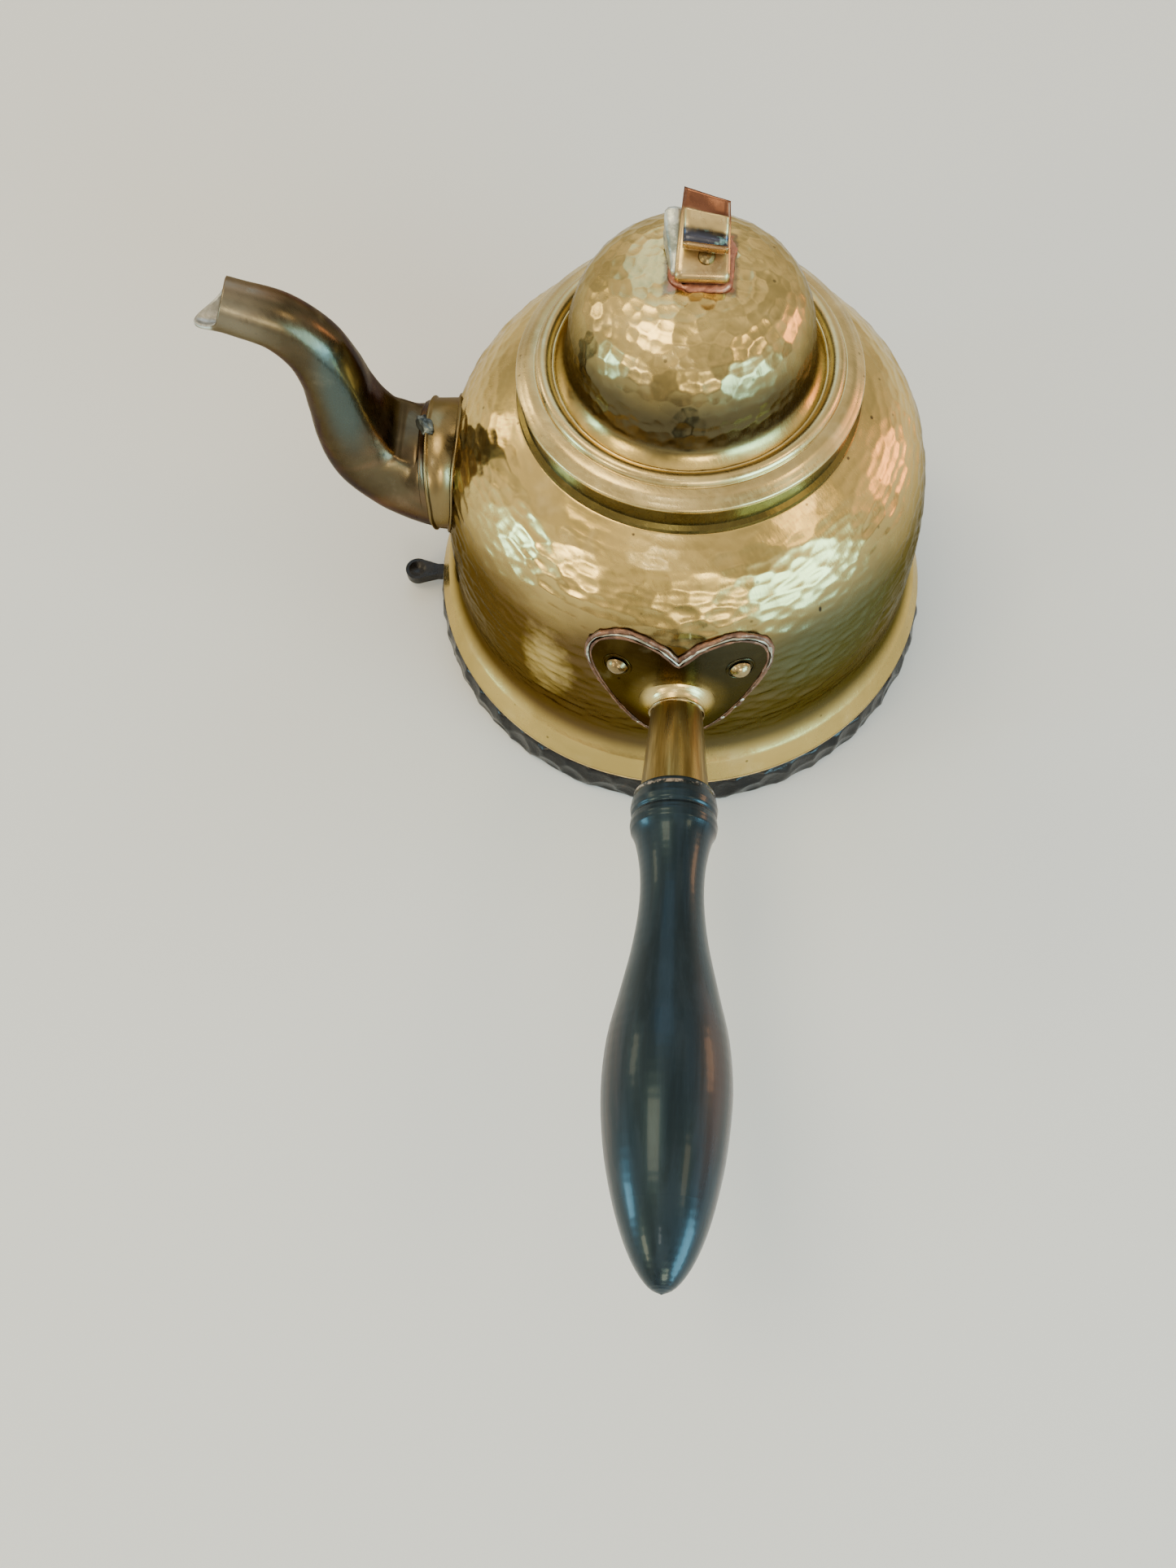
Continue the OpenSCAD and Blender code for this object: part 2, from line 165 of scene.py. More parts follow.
def skin(nodes, centre_z, low, high, count=400):
    """(radius, height) of the CAD's outer surface on its right side, cast towards a point on the
    axis from elevations between low and high degrees."""
    azimuth = 90
    trees = [BVHTree.FromPolygons([v.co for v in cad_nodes[n].data.vertices],
                                  [tuple(p.vertices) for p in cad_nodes[n].data.polygons])
             for n in nodes]
    out = []
    for e in np.linspace(math.radians(low), math.radians(high), count):
        way = polar(math.cos(e), azimuth, math.sin(e))
        start = Vector((0, 0, centre_z)) + way * 0.3
        hits = [t.ray_cast(start, -way) for t in trees]
        hits = [h for h in hits if h[0] is not None]
        if hits:
            p = min(hits, key=lambda h: h[3])[0]
            out.append((math.hypot(p.x, p.y), p.z))
    return np.array(out)


def blows(line, cols, row_gap, gap, stretch, face_r, tilt, seed):
    """Depth of overlapping hammer blows on a surface of revolution: an array (rows, cols) of
    heights in metres, 0 in the middle of a blow. line is the (radius, height) outline."""
    rng = random.Random(seed)
    s = np.r_[0, np.cumsum(np.linalg.norm(np.diff(line, axis=0), axis=1))]
    centres, slopes = [], []
    v = -row_gap
    while v < s[-1] + row_gap:
        r = float(np.interp(v, s, line[:, 0]))
        n = max(3, round(2 * math.pi * max(r, gap) / gap))
        phase = rng.random() * 6.28
        for k in range(n):
            a = phase + 2 * math.pi * (k + rng.uniform(-0.24, 0.24)) / n
            w = v + rng.uniform(-0.26, 0.26) * row_gap
            rr = float(np.interp(w, s, line[:, 0]))
            centres.append((rr * math.cos(a), rr * math.sin(a), w * stretch))
            slopes.append([rng.gauss(0, tilt) for _ in range(3)])
        v += row_gap * rng.uniform(0.93, 1.07)
    tree = KDTree(len(centres))
    for i, c in enumerate(centres):
        tree.insert(c, i)
    tree.balance()
    t = np.linspace(0, 2 * math.pi, cols, endpoint=False)
    p = np.stack([line[:, :1] * np.cos(t), line[:, :1] * np.sin(t),
                  np.repeat((s * stretch)[:, None], cols, 1)], -1).reshape(-1, 3)
    near = np.array([[i for _, i, _ in tree.find_n(q, 6)] for q in p])
    centres, slopes = np.array(centres), np.array(slopes)
    d = p[:, None, :] - centres[near]
    h = (d ** 2).sum(-1) / (2 * face_r) + (d * slopes[near]).sum(-1)
    return h.min(1).reshape(len(line), cols)


def cleaned(obj, cutters):
    """Cuts closed cutters out of obj and removes them."""
    for c in cutters:
        m = obj.modifiers.new("cut", "BOOLEAN")
        m.operation, m.solver, m.object = "DIFFERENCE", "MANIFOLD", c
    dg = bpy.context.evaluated_depsgraph_get()
    mesh = bpy.data.meshes.new_from_object(obj.evaluated_get(dg))
    obj.modifiers.clear()
    obj.data = mesh
    for c in cutters:
        bpy.data.objects.remove(c)


# ---------------------------------------------------------------- material helpers

class Paint:
    """A node material with a short way to write its graph."""

    def __init__(self, name="", tree=None):
        if tree is None:
            self.material = bpy.data.materials.new(name)
            self.material.use_nodes = True
            tree = self.material.node_tree
            self.shader = tree.nodes["Principled BSDF"]
        self.tree = tree
        self.where = self.node("ShaderNodeTexCoord").outputs["Object"]

    def put(self, socket, value):
        if isinstance(value, bpy.types.NodeSocket):
            self.tree.links.new(value, socket)
        elif isinstance(value, (tuple, list)) and len(value) == 3 and socket.type == "RGBA":
            socket.default_value = (*value, 1)
        else:
            socket.default_value = value

    def node(self, kind, inputs=None, **props):
        n = self.tree.nodes.new(kind)
        for k, v in props.items():
            setattr(n, k, v)
        for k, v in (inputs or {}).items():
            self.put(n.inputs[k], v)
        return n

    def set(self, **values):
        for k, v in values.items():
            self.put(self.shader.inputs[k.replace("_", " ")], v)

    def noise(self, size, detail=3.0, rough=0.55, distortion=0.0, where=None):
        """Noise with blobs about size metres across."""
        return self.node("ShaderNodeTexNoise", {
            "Vector": where or self.where, "Scale": 0.6 / size, "Detail": detail,
            "Roughness": rough, "Distortion": distortion}).outputs["Fac"]

    def cells(self, size, where=None):
        """Distance from scattered points about size metres apart, as a share of size."""
        return self.node("ShaderNodeTexVoronoi", {
            "Vector": where or self.where, "Scale": 1 / size}).outputs["Distance"]

    def stretched(self, scale, rotation=(0, 0, 0)):
        turn = self.node("ShaderNodeMapping", {"Vector": self.where, "Rotation": rotation})
        return self.node("ShaderNodeMapping", {"Vector": turn.outputs[0], "Scale": scale}).outputs[0]

    def ramp(self, value, low, high, a=0.0, b=1.0):
        """A soft step from a, where value is low, to b, where it is high."""
        return self.node("ShaderNodeMapRange", {
            "Value": value, "From Min": low, "From Max": high, "To Min": a, "To Max": b},
            interpolation_type="SMOOTHSTEP").outputs[0]

    def mix(self, amount, a, b):
        """Colour a where amount is 0 and colour b where it is 1."""
        n = self.node("ShaderNodeMix", data_type="RGBA")
        self.put(n.inputs[0], amount)
        self.put(n.inputs[6], a)
        self.put(n.inputs[7], b)
        return n.outputs[2]

    def maths(self, op, a, b=0.0, c=0.0):
        return self.node("ShaderNodeMath", {0: a, 1: b, 2: c}, operation=op).outputs[0]

    def axis(self, which):
        return self.node("ShaderNodeSeparateXYZ", {0: self.where}).outputs[which]

    def radius(self, centre=(0, 0, 0), scale=(1, 1, 1)):
        """Distance from a point, in metres, with each axis scaled."""
        off = self.node("ShaderNodeVectorMath", {0: self.where, 1: centre}, operation="SUBTRACT")
        big = self.node("ShaderNodeVectorMath", {0: off.outputs[0], 1: scale}, operation="MULTIPLY")
        return self.node("ShaderNodeVectorMath", {0: big.outputs[0]}, operation="LENGTH").outputs["Value"]

    def bump(self, height, distance, strength=1.0, under=None):
        inputs = {"Height": height, "Distance": distance, "Strength": strength}
        if under is not None:
            inputs["Normal"] = under
        return self.node("ShaderNodeBump", inputs).outputs[0]


def wear(p, colour, dark, light, size=0.018):
    """Cloudy tarnish over a base colour, with small dark specks."""
    cloud = p.noise(size, 4, 0.6, 0.4)
    tint = p.mix(p.ramp(cloud, 0.36, 0.68), dark, colour)
    tint = p.mix(p.ramp(p.noise(size * 0.4, 3, 0.6), 0.56, 0.76, 0, 0.55), tint, light)
    speck = p.ramp(p.cells(0.0075), 0.035, 0.075, 0.75, 0)
    return p.mix(speck, tint, tuple(c * 0.3 for c in dark))


def polish(p, low, high, size=0.012):
    """Roughness that varies in smears, and a fine bump of handling scratches."""
    scratch = 0.00002
    smear = p.noise(size, 4, 0.65, 0.8)
    fine = p.noise(0.0012, 2, 0.5, where=p.stretched((1, 3.2, 0.9), (0.5, 0.3, 0.7)))
    rough = p.ramp(p.maths("MULTIPLY_ADD", fine, 0.35, p.maths("MULTIPLY", smear, 0.75)),
                   0.35, 0.75, low, high)
    p.set(Roughness=rough)
    normal = p.bump(p.noise(0.0045, 3, 0.6), scratch * 4)
    p.set(Normal=p.bump(fine, scratch, 0.8, normal))


def spot(p, tint, centre, size, colour, amount=0.85, stretch=(1, 1, 1)):
    """A small mark of about size metres round a point."""
    near = p.radius(tuple(centre), stretch)
    near = p.maths("ADD", near, p.maths("MULTIPLY", p.noise(size * 1.2, 3, 0.7), size * 0.8))
    return p.mix(p.ramp(near, size * 0.9, size * 1.5, amount, 0), tint, colour)


def brass_vessel():
    p = Paint("brass_hammered")
    z = p.axis(2)
    x = p.axis(0)
    tint = wear(p, (0.66, 0.485, 0.165), (0.52, 0.38, 0.125), (0.74, 0.58, 0.25))
    # painted reflection: the sides are painted darker and browner than the shoulder, more so on the left,
    # with olive on the right, for the dark table they reflect
    side = p.ramp(p.maths("ADD", z, p.maths("MULTIPLY", p.noise(0.02), 0.016)), 0.070, 0.095, 1, 0)
    foot = p.ramp(z, 0.0175, 0.0245)
    painted_table_reflection = p.mix(p.ramp(x, -0.04, 0.03), (0.085, 0.047, 0.018), (0.082, 0.073, 0.036))
    tint = p.mix(p.maths("MULTIPLY", p.maths("MULTIPLY", side, foot), 0.93), tint, painted_table_reflection)
    # painted reflection: a teal-olive patch low on the right of the heart
    painted_teal_reflection = p.radius(tuple(polar(0.068, 40, 0.060)), (1, 1, 1.4))
    tint = p.mix(p.ramp(painted_teal_reflection, 0.012, 0.034, 0.75, 0), tint, (0.115, 0.135, 0.080))
    # painted highlight: a bright, blotchy brass patch low on the left, level with the handle
    painted_highlight_patch = p.radius(tuple(polar(0.0655, -32, 0.051)), (1, 1, 0.55))
    painted_highlight_patch = p.maths("ADD", painted_highlight_patch, p.maths("MULTIPLY", p.noise(0.006, 4, 0.7), 0.012))
    tint = p.mix(p.ramp(painted_highlight_patch, 0.0085, 0.0155, 0.9, 0), tint, (0.58, 0.44, 0.18))
    for r, a, h, size in ((0.0458, 81.6, 0.0913, 0.0007), (0.0437, 63.1, 0.0921, 0.0005),
                          (0.0444, -15.7, 0.0917, 0.0004), (0.0570, -40, 0.0812, 0.0003)):
        tint = spot(p, tint, polar(r, a, h), size, (0.06, 0.035, 0.015))
    tint = spot(p, tint, polar(0.0614, 33.8, 0.074), 0.00055, (0.012, 0.01, 0.008), 0.95, (1, 1, 0.35))
    tint = spot(p, tint, polar(0.0606, 2.3, 0.0755), 0.0004, (0.75, 0.68, 0.45), 0.7, (1, 1, 0.2))
    p.set(Base_Color=tint, Metallic=1.0, Coat_Weight=p.ramp(z, 0.06, 0.085, 0.05, 0.4), Coat_Roughness=0.16)
    edge = p.mix(p.ramp(z, 0.06, 0.085), (0.46, 0.42, 0.31), (0.95, 0.85, 0.62))
    edge = p.mix(foot, (0.95, 0.85, 0.62), edge)
    p.set(Specular_Tint=edge)
    polish(p, 0.17, 0.31)
    return p.material


def brass_dome():
    p = Paint("brass_dome")
    z = p.axis(2)
    tint = wear(p, (0.74, 0.56, 0.21), (0.49, 0.36, 0.12), (0.80, 0.64, 0.30), 0.014)
    # painted shade: the dome is painted dark on its lower part, down to the brim, for the dark room it
    # reflects
    low = p.ramp(p.maths("ADD", z, p.maths("MULTIPLY", p.noise(0.012), 0.01)), 0.120, 0.137, 1, 0)
    rim = p.ramp(z, 0.1035, 0.1075)
    tint = p.mix(p.maths("MULTIPLY", p.maths("MULTIPLY", low, rim), 0.95), tint, (0.062, 0.052, 0.029))
    # pink and dark fire stain round the foot of the handle strap
    side = p.maths("SUBTRACT", p.maths("ABSOLUTE", p.maths("SUBTRACT", p.axis(0), 0.0016)), 0.0066)
    front = p.maths("SUBTRACT", p.maths("ABSOLUTE", p.maths("SUBTRACT", p.axis(1), 0.0022)), 0.0080)
    edge = p.maths("MAXIMUM", side, front)
    edge = p.maths("ADD", edge, p.maths("MULTIPLY", p.noise(0.0035, 4, 0.7), 0.0034))
    edge = p.maths("ADD", edge, p.maths("MULTIPLY", p.ramp(p.axis(0), -0.008, -0.002, 0, 1), 0.0006))
    tint = p.mix(p.ramp(edge, 0.0030, 0.0039, 0.7, 0), tint, (0.15, 0.11, 0.09))
    tint = p.mix(p.ramp(edge, 0.0022, 0.0029, 0.9, 0), tint, (0.40, 0.17, 0.10))
    p.set(Base_Color=tint, Metallic=1.0, Coat_Weight=p.ramp(z, 0.116, 0.130, 0.05, 0.4), Coat_Roughness=0.16,
          Specular_Tint=(0.66, 0.59, 0.44, 1))
    polish(p, 0.16, 0.3)
    return p.material


def brass_plate_painted_light():
    p = Paint("brass_plate_painted_light")
    # painted shade: the plate's dark base stands for the dark table it reflects
    tint = wear(p, (0.055, 0.036, 0.009), (0.028, 0.016, 0.004), (0.12, 0.10, 0.05), 0.01)
    tint = p.mix(p.ramp(p.axis(0), -0.006, 0.008, 0, 0.7), tint, (0.05, 0.05, 0.032))
    # painted highlight: a bright brass glow round the handle's root, above the swell
    root = p.radius((0, -0.0665, 0.053), (1, 0.9, 1.05))
    root = p.maths("ADD", root, p.maths("MULTIPLY", p.noise(0.006, 3, 0.6), 0.002))
    tint = p.mix(p.ramp(root, 0.0095, 0.0155, 0.7, 0), tint, (0.19, 0.14, 0.05))
    tint = p.mix(p.ramp(root, 0.0080, 0.0112, 1, 0), tint, (0.66, 0.52, 0.23))
    p.set(Base_Color=tint, Metallic=1.0, Specular_Tint=(0.6, 0.5, 0.3, 1))
    polish(p, 0.2, 0.34, 0.008)
    return p.material


def brass_foot():
    p = Paint("brass_foot")
    tint = wear(p, (0.94, 0.66, 0.25), (0.72, 0.49, 0.17), (1.0, 0.78, 0.38), 0.012)
    # darker below the top of the iron ring
    height = p.maths("ADD", p.axis(2), p.maths("MULTIPLY", p.noise(0.01, 4), 0.0012))
    dark_below_ring = p.ramp(height, 0.0098, 0.0112, 1, 0)
    tint = p.mix(p.maths("MULTIPLY", dark_below_ring, 0.85), tint, (0.06, 0.035, 0.022))
    p.set(Base_Color=tint, Metallic=1.0, Coat_Weight=0.3, Coat_Roughness=0.16)
    polish(p, 0.17, 0.32, 0.01)
    return p.material


def brass_sheet(name="brass_sheet", colour=(0.66, 0.52, 0.235), dark=(0.47, 0.36, 0.155),
                light=(0.76, 0.63, 0.34)):
    p = Paint(name)
    p.set(Base_Color=wear(p, colour, dark, light, 0.012), Metallic=1.0)
    polish(p, 0.2, 0.36, 0.008)
    return p.material


def brass_spout():
    p = Paint("brass_dull")
    # painted shade: the spout's base colour is painted dark, with a low specular tint, for the dark table it
    # reflects
    tint = wear(p, (0.110, 0.088, 0.048), (0.062, 0.046, 0.024), (0.20, 0.16, 0.10), 0.014)
    warm = p.ramp(p.noise(0.02, 3, 0.6, 0.5), 0.48, 0.68, 0, 0.6)
    tint = p.mix(warm, tint, (0.30, 0.16, 0.09))
    # painted reflection: a cool teal sheen down the front of the bend
    painted_bend_reflection = p.radius((-0.0855, -0.0085, 0.098), (1.3, 1, 0.36))
    painted_bend_reflection = p.maths("ADD", painted_bend_reflection, p.maths("MULTIPLY", p.noise(0.008), 0.003))
    tint = p.mix(p.ramp(painted_bend_reflection, 0.0045, 0.0110, 0.6, 0), tint, (0.085, 0.135, 0.135))
    # paler towards the mouth, and tinned along the lip
    out = p.maths("MULTIPLY", p.axis(0), -1)
    tint = p.mix(p.ramp(out, 0.094, 0.106, 0, 0.5), tint, (0.30, 0.27, 0.20))
    edge = p.maths("ADD", out, p.maths("MULTIPLY", p.noise(0.003, 4, 0.7), 0.0016))
    tint = p.mix(p.ramp(edge, 0.1128, 0.1142), tint, (0.62, 0.66, 0.60))
    # clean brass on the band that holds the root
    tint = p.mix(p.ramp(out, 0.0681, 0.0684), (0.21, 0.155, 0.068), tint)
    p.set(Base_Color=tint, Metallic=1.0, Coat_Weight=0.18, Coat_Roughness=0.16,
          Specular_Tint=(0.30, 0.25, 0.17, 1))
    polish(p, 0.2, 0.38, 0.01)
    return p.material


def brass_socket():
    p = Paint("brass_socket")
    along = p.stretched((1, 0.04, 1), (math.radians(8), 0, 0))
    streak = p.noise(0.0012, 3, 0.6, where=along)
    tint = p.mix(p.ramp(streak, 0.35, 0.7), (0.17, 0.115, 0.032), (0.36, 0.26, 0.09))
    tint = p.mix(p.ramp(p.noise(0.009, 3), 0.5, 0.75, 0, 0.5), tint, (0.20, 0.15, 0.055))
    p.set(Base_Color=tint, Metallic=1.0, Roughness=p.ramp(streak, 0.3, 0.7, 0.42, 0.26))
    p.set(Normal=p.bump(streak, 0.00006))
    return p.material


def copper_braze(name="copper_braze", dark=(0.09, 0.042, 0.026), light=(0.25, 0.135, 0.09),
                 pale=(0.48, 0.37, 0.29)):
    p = Paint(name)
    cloud = p.noise(0.0024, 4, 0.7, 0.6)
    tint = p.mix(p.ramp(cloud, 0.38, 0.62), dark, light)
    tint = p.mix(p.ramp(p.noise(0.0011, 3, 0.7), 0.6, 0.72, 0, 0.7), tint, pale)
    p.set(Base_Color=tint, Metallic=p.ramp(cloud, 0.35, 0.7, 0.45, 0.95),
          Roughness=p.ramp(cloud, 0.3, 0.7, 0.6, 0.3))
    p.set(Normal=p.bump(p.noise(0.0007, 3, 0.7), 0.00012))
    return p.material


def tin(name="tin_solder", colour=(0.6, 0.64, 0.6), dark=(0.22, 0.25, 0.22)):
    p = Paint(name)
    cloud = p.noise(0.003, 4, 0.7, 0.5)
    tint = p.mix(p.ramp(cloud, 0.36, 0.62), dark, colour)
    p.set(Base_Color=tint, Metallic=0.9, Roughness=p.ramp(cloud, 0.3, 0.7, 0.55, 0.32))
    p.set(Normal=p.bump(p.noise(0.0013, 3, 0.65), 0.00015))
    return p.material


def iron():
    p = Paint("iron")
    cloud = p.noise(0.006, 4, 0.65, 0.4)
    tint = p.mix(p.ramp(cloud, 0.35, 0.7), (0.004, 0.004, 0.005), (0.02, 0.018, 0.017))
    rust = p.ramp(p.noise(0.0022, 4, 0.7), 0.62, 0.74, 0, 0.6)
    tint = p.mix(rust, tint, (0.05, 0.026, 0.016))
    p.set(Base_Color=tint, Metallic=0.1, Roughness=p.ramp(cloud, 0.3, 0.7, 0.16, 0.34),
          Specular_IOR_Level=0.28)
    p.set(Normal=p.bump(p.noise(0.0016, 4, 0.65), 0.00022))
    return p.material


def dark_grip():
    p = Paint("dark_grip")
    y = p.axis(1)
    along = p.stretched((1, 0.06, 1), (math.radians(8), 0, 0))
    grain = p.noise(0.0022, 4, 0.65, 0.3, along)
    tint = p.mix(p.ramp(grain, 0.4, 0.66), (0.003, 0.005, 0.008), (0.008, 0.013, 0.020))
    # brown where the hand closes round it, mostly on the right: partly rubbed wear, partly a painted brown
    # reflection
    rub_and_reflection = p.ramp(p.axis(0), 0.004, 0.0135)
    rub_and_reflection = p.maths("MULTIPLY", rub_and_reflection, p.ramp(p.noise(0.02, 3, 0.6, 0.6, along), 0.38, 0.62))
    tint = p.mix(p.maths("MULTIPLY", rub_and_reflection, 0.75), tint, (0.085, 0.032, 0.018))
    left = p.maths("MULTIPLY", p.ramp(p.axis(0), -0.0085, -0.0135), p.ramp(grain, 0.4, 0.6, 0.1, 0.5))
    tint = p.mix(left, tint, (0.06, 0.026, 0.014))
    nick = p.ramp(p.cells(0.013, where=p.stretched((1, 0.4, 1))), 0.03, 0.05, 0.8, 0)
    tint = p.mix(nick, tint, (0.22, 0.19, 0.17))
    # a pale line along the bead
    s = p.maths("MULTIPLY_ADD", y, -1.0, -0.0945)
    line = p.maths("MULTIPLY", p.ramp(p.maths("ABSOLUTE", s), 0.0002, 0.0007, 1, 0),
                   p.ramp(p.noise(0.002, 4, 0.8), 0.45, 0.6))
    tint = p.mix(p.maths("MULTIPLY", line, 0.8), tint, (0.4, 0.33, 0.28))
    # painted reflection: the blue specular tint gives the grip's reflections a blue sheen
    p.set(Base_Color=tint, Roughness=p.ramp(p.noise(0.014, 4, 0.7, 0.5, along), 0.3, 0.7, 0.16, 0.4),
          Coat_Weight=0.15, Coat_Roughness=0.1, Specular_IOR_Level=0.38,
          Specular_Tint=(0.5, 0.85, 1.0, 1))
    p.set(Normal=p.bump(grain, 0.00005))
    return p.material


BODY = brass_vessel()
DOME = brass_dome()
PLATE = brass_plate_painted_light()
FOOT = brass_foot()
SHEET = brass_sheet()
STAIN = copper_braze("copper_stain", (0.24, 0.075, 0.04), (0.46, 0.2, 0.13), (0.42, 0.24, 0.16))
# painted shade: a dark copy of the brass sheet for the upright neck, which reflects the dark room
SHADED_NECK = brass_sheet("brass_neck_shaded", (0.17, 0.135, 0.04), (0.11, 0.085, 0.026), (0.26, 0.21, 0.09))
RIVET = brass_sheet("brass_rivet", (0.34, 0.26, 0.13), (0.16, 0.11, 0.05), (0.62, 0.52, 0.34))
SILVER = tin("tin_bright", (0.62, 0.63, 0.55), (0.24, 0.23, 0.18))
SPOUT = brass_spout()
SOCKET = brass_socket()
BRAZE = copper_braze()
TIN = tin()
LINING = tin("tin_lining", (0.55, 0.55, 0.52), (0.28, 0.27, 0.24))
IRON = iron()
GRIP = dark_grip()


def give_material(obj, *materials):
    obj.data.materials.clear()
    for m in materials:
        obj.data.materials.append(m)


# ---------------------------------------------------------------- the hammered vessel

def shell(name, line, cols, depth, wall, body, nodes):
    """A sheet of revolution whose outside carries a depth map, with a plain inside."""
    inner_rows = 16
    n = normals_2d(line)
    out = line[:, None, :] + n[:, None, :] * depth[..., None]
    pick = np.linspace(0, len(line) - 1, inner_rows).round().astype(int)[::-1]
    inside = (line - n * wall)[pick]
    inside[:, 0] = np.maximum(inside[:, 0], 0)
    rings = np.concatenate([out, np.repeat(inside[:, None, :], cols, 1)])
    rings[..., 0] = np.maximum(rings[..., 0], 0)
    return make(name, turned(rings, cols), grid_faces(len(rings), cols, wrap_rows=True), body, nodes)


def line_the_inside(obj, inside_of, outer, inner):
    """Gives the faces for which inside_of(centre, normal) is true the second material."""
    give_material(obj, outer, inner)
    for f in obj.data.polygons:
        f.material_index = 1 if inside_of(f.center, f.normal) else 0


VESSEL_MIDDLE = 0.045
wall = skin(["vessel_wall", "vessel_shoulder"], VESSEL_MIDDLE, -25.2, 48.2)
# the wall flares out at its foot, over the rim of the bottom sheet, in a soft cove
wall[:, 0] += 0.0017 * np.clip((0.0272 - wall[:, 1]) / 0.0088, 0, 1) ** 2.4
wall = resample(wall, 190)
COLS = 480
h = blows(wall, COLS, 0.0026, 0.0048, 1.85, 0.019, 0.06, 3)
# how deep the blows are at each height
strength = np.interp(wall[:, 1], [0.025, 0.030, 0.038, 0.055, 0.082, 0.0885, 0.0925],
                     [0.0, 0.3, 0.75, 1.0, 1.0, 0.45, 0.12])
swell = soft_noise(turned(wall, COLS), 0.016, 5).reshape(len(wall), COLS)
depth = (np.minimum(h, 0.00028) - 0.00028) * strength[:, None] + (swell - 1.6) * 0.00004 * strength[:, None]
depth = np.minimum(depth, 0)
vessel = shell("hammered_vessel", wall, COLS, depth, 0.0012, "pot",
               ["vessel_wall", "vessel_shoulder"])

# the strainer: rings of holes round the middle of the spout's root
HOLE_STEP, HOLE_R = 0.0054, 0.0017
root = (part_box("spout_collar")[0].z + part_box("spout_collar")[1].z) / 2
drills = []
for ring in range(3):
    for i in range(max(1, 6 * ring)):
        a = math.radians(60 * i / max(1, ring))
        y, z = HOLE_STEP * ring * math.sin(a), root - HOLE_STEP * ring * math.cos(a)
        bm = bmesh.new()
        bmesh.ops.create_cone(bm, cap_ends=True, segments=20, radius1=HOLE_R, radius2=HOLE_R,
                              depth=0.02, matrix=Matrix.Translation((-0.065, y, z))
                              @ Matrix.Rotation(math.pi / 2, 4, "Y"))
        mesh = bpy.data.meshes.new("drill")
        bm.to_mesh(mesh)
        bm.free()
        drill = bpy.data.objects.new("drill", mesh)
        bpy.context.scene.collection.objects.link(drill)
        drills.append(drill)
cleaned(vessel, drills)
line_the_inside(vessel, lambda c, n: n.x * c.x + n.y * c.y + n.z * (c.z - VESSEL_MIDDLE) < 0,
                BODY, LINING)
vessel.data.shade_smooth()


# ---------------------------------------------------------------- the lid

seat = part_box("lid_brim")[0].z
DOME_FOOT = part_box("lid_dome")[1].x
dome = skin(["lid_dome"], seat, 6.5, 90, 500)
dome = dome[dome[:, 1] > seat + 0.0034]
dome = dome[dome[:, 0] < DOME_FOOT]
dome[-1, 0] = 0
dome = resample(dome, 118)
DCOLS = 352
h = blows(dome, DCOLS, 0.0027, 0.0030, 1.0, 0.0112, 0.05, 11)
strength = np.interp(dome[:, 1] - seat, [0.0045, 0.0075, 0.0095, 0.013, 0.03], [0, 0.12, 0.6, 1, 0.85])
depth = np.minimum((np.minimum(h, 0.00022) - 0.00022) * strength[:, None], 0)
lid = shell("hammered_dome", dome, DCOLS, depth, 0.001, "lid", ["lid_dome"])
line_the_inside(lid, lambda c, n: n.x * c.x + n.y * c.y + n.z * (c.z - seat) < 0, DOME, LINING)

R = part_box("lid_brim")[1].x
brim = [(R - 0.0037, 0), (R - 0.0007, 0)]
brim += arc(R - 0.0009, 0.0009, 0.0009, -75, 48, 8)
brim += [tuple(q) for q in spline([(R - 0.0011, 0.00205), (R - 0.0027, 0.0032), (R - 0.0047, 0.00375)], 6)]
brim += [(R - 0.00487, 0.0036)]
brim += arc(R - 0.0069, 0.0037, 0.00195, 4, 176, 14)
brim += [(R - 0.00895, 0.0036), (R - 0.0091, 0.0031), (R - 0.009, 0.0027), (R - 0.0076, 0.0025),
         (R - 0.004, 0.0023)]
brim = np.array(brim) + [0, seat]
rings = np.repeat(brim[:, None, :], 256, 1)
wobble = soft_noise(turned(brim, 256), 0.02, 21).reshape(len(brim), 256)
rings = rings - np.abs(wobble)[..., None] * np.array([0.00012, 0.00008])
rings[:2, :, 1] = seat
obj = make("rolled_brim", turned(rings, 256), grid_faces(len(brim), 256, wrap_rows=True),
           "lid", ["lid_brim"])
give_material(obj, SHEET)


# ---------------------------------------------------------------- foot and iron ring

ring_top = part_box("trivet_ring")[1].z
foot_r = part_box("base_pan")[1].x
pan_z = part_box("base_pan")[0].z
lip_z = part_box("base_pan")[1].z
pan = [(0, pan_z), (foot_r - 0.0051, pan_z), (foot_r - 0.0033, ring_top), (foot_r - 0.001, ring_top)]
pan += arc(foot_r - 0.001, ring_top + 0.001, 0.001, -80, 22, 6)
pan += [tuple(q) for q in spline([
    (foot_r - 0.0002, ring_top + 0.0018), (foot_r - 0.001, ring_top + 0.0036),
    (foot_r - 0.0021, ring_top + 0.0060), (foot_r - 0.0031, lip_z - 0.0007)], 5)]
pan += arc(foot_r - 0.00355, lip_z - 0.00042, 0.0004, 20, 175, 5)
pan += [(foot_r - 0.0015, ring_top + 0.0017), (foot_r - 0.0026, ring_top + 0.0012),
        (foot_r - 0.0042, ring_top + 0.0012), (foot_r - 0.006, pan_z + 0.0012), (0, pan_z + 0.0012)]
PAN_COLS = 384
rings = np.repeat(np.array(pan)[:, None, :], PAN_COLS, 1)
band = slice(11, 33)  # the rows on the outside of the folded rim
dents = soft_noise(turned(pan, PAN_COLS), 0.017, 31).reshape(len(pan), PAN_COLS)[band]
rings[band, :, 0] -= np.abs(dents) * 0.00012
obj = make("folded_foot", turned(rings, PAN_COLS), grid_faces(len(pan), PAN_COLS, wrap_rows=False),
           "pot", ["base_pan"])
line_the_inside(obj, lambda c, n: n.z > 0.3 and math.hypot(c.x, c.y) < foot_r - 0.006, FOOT, LINING)

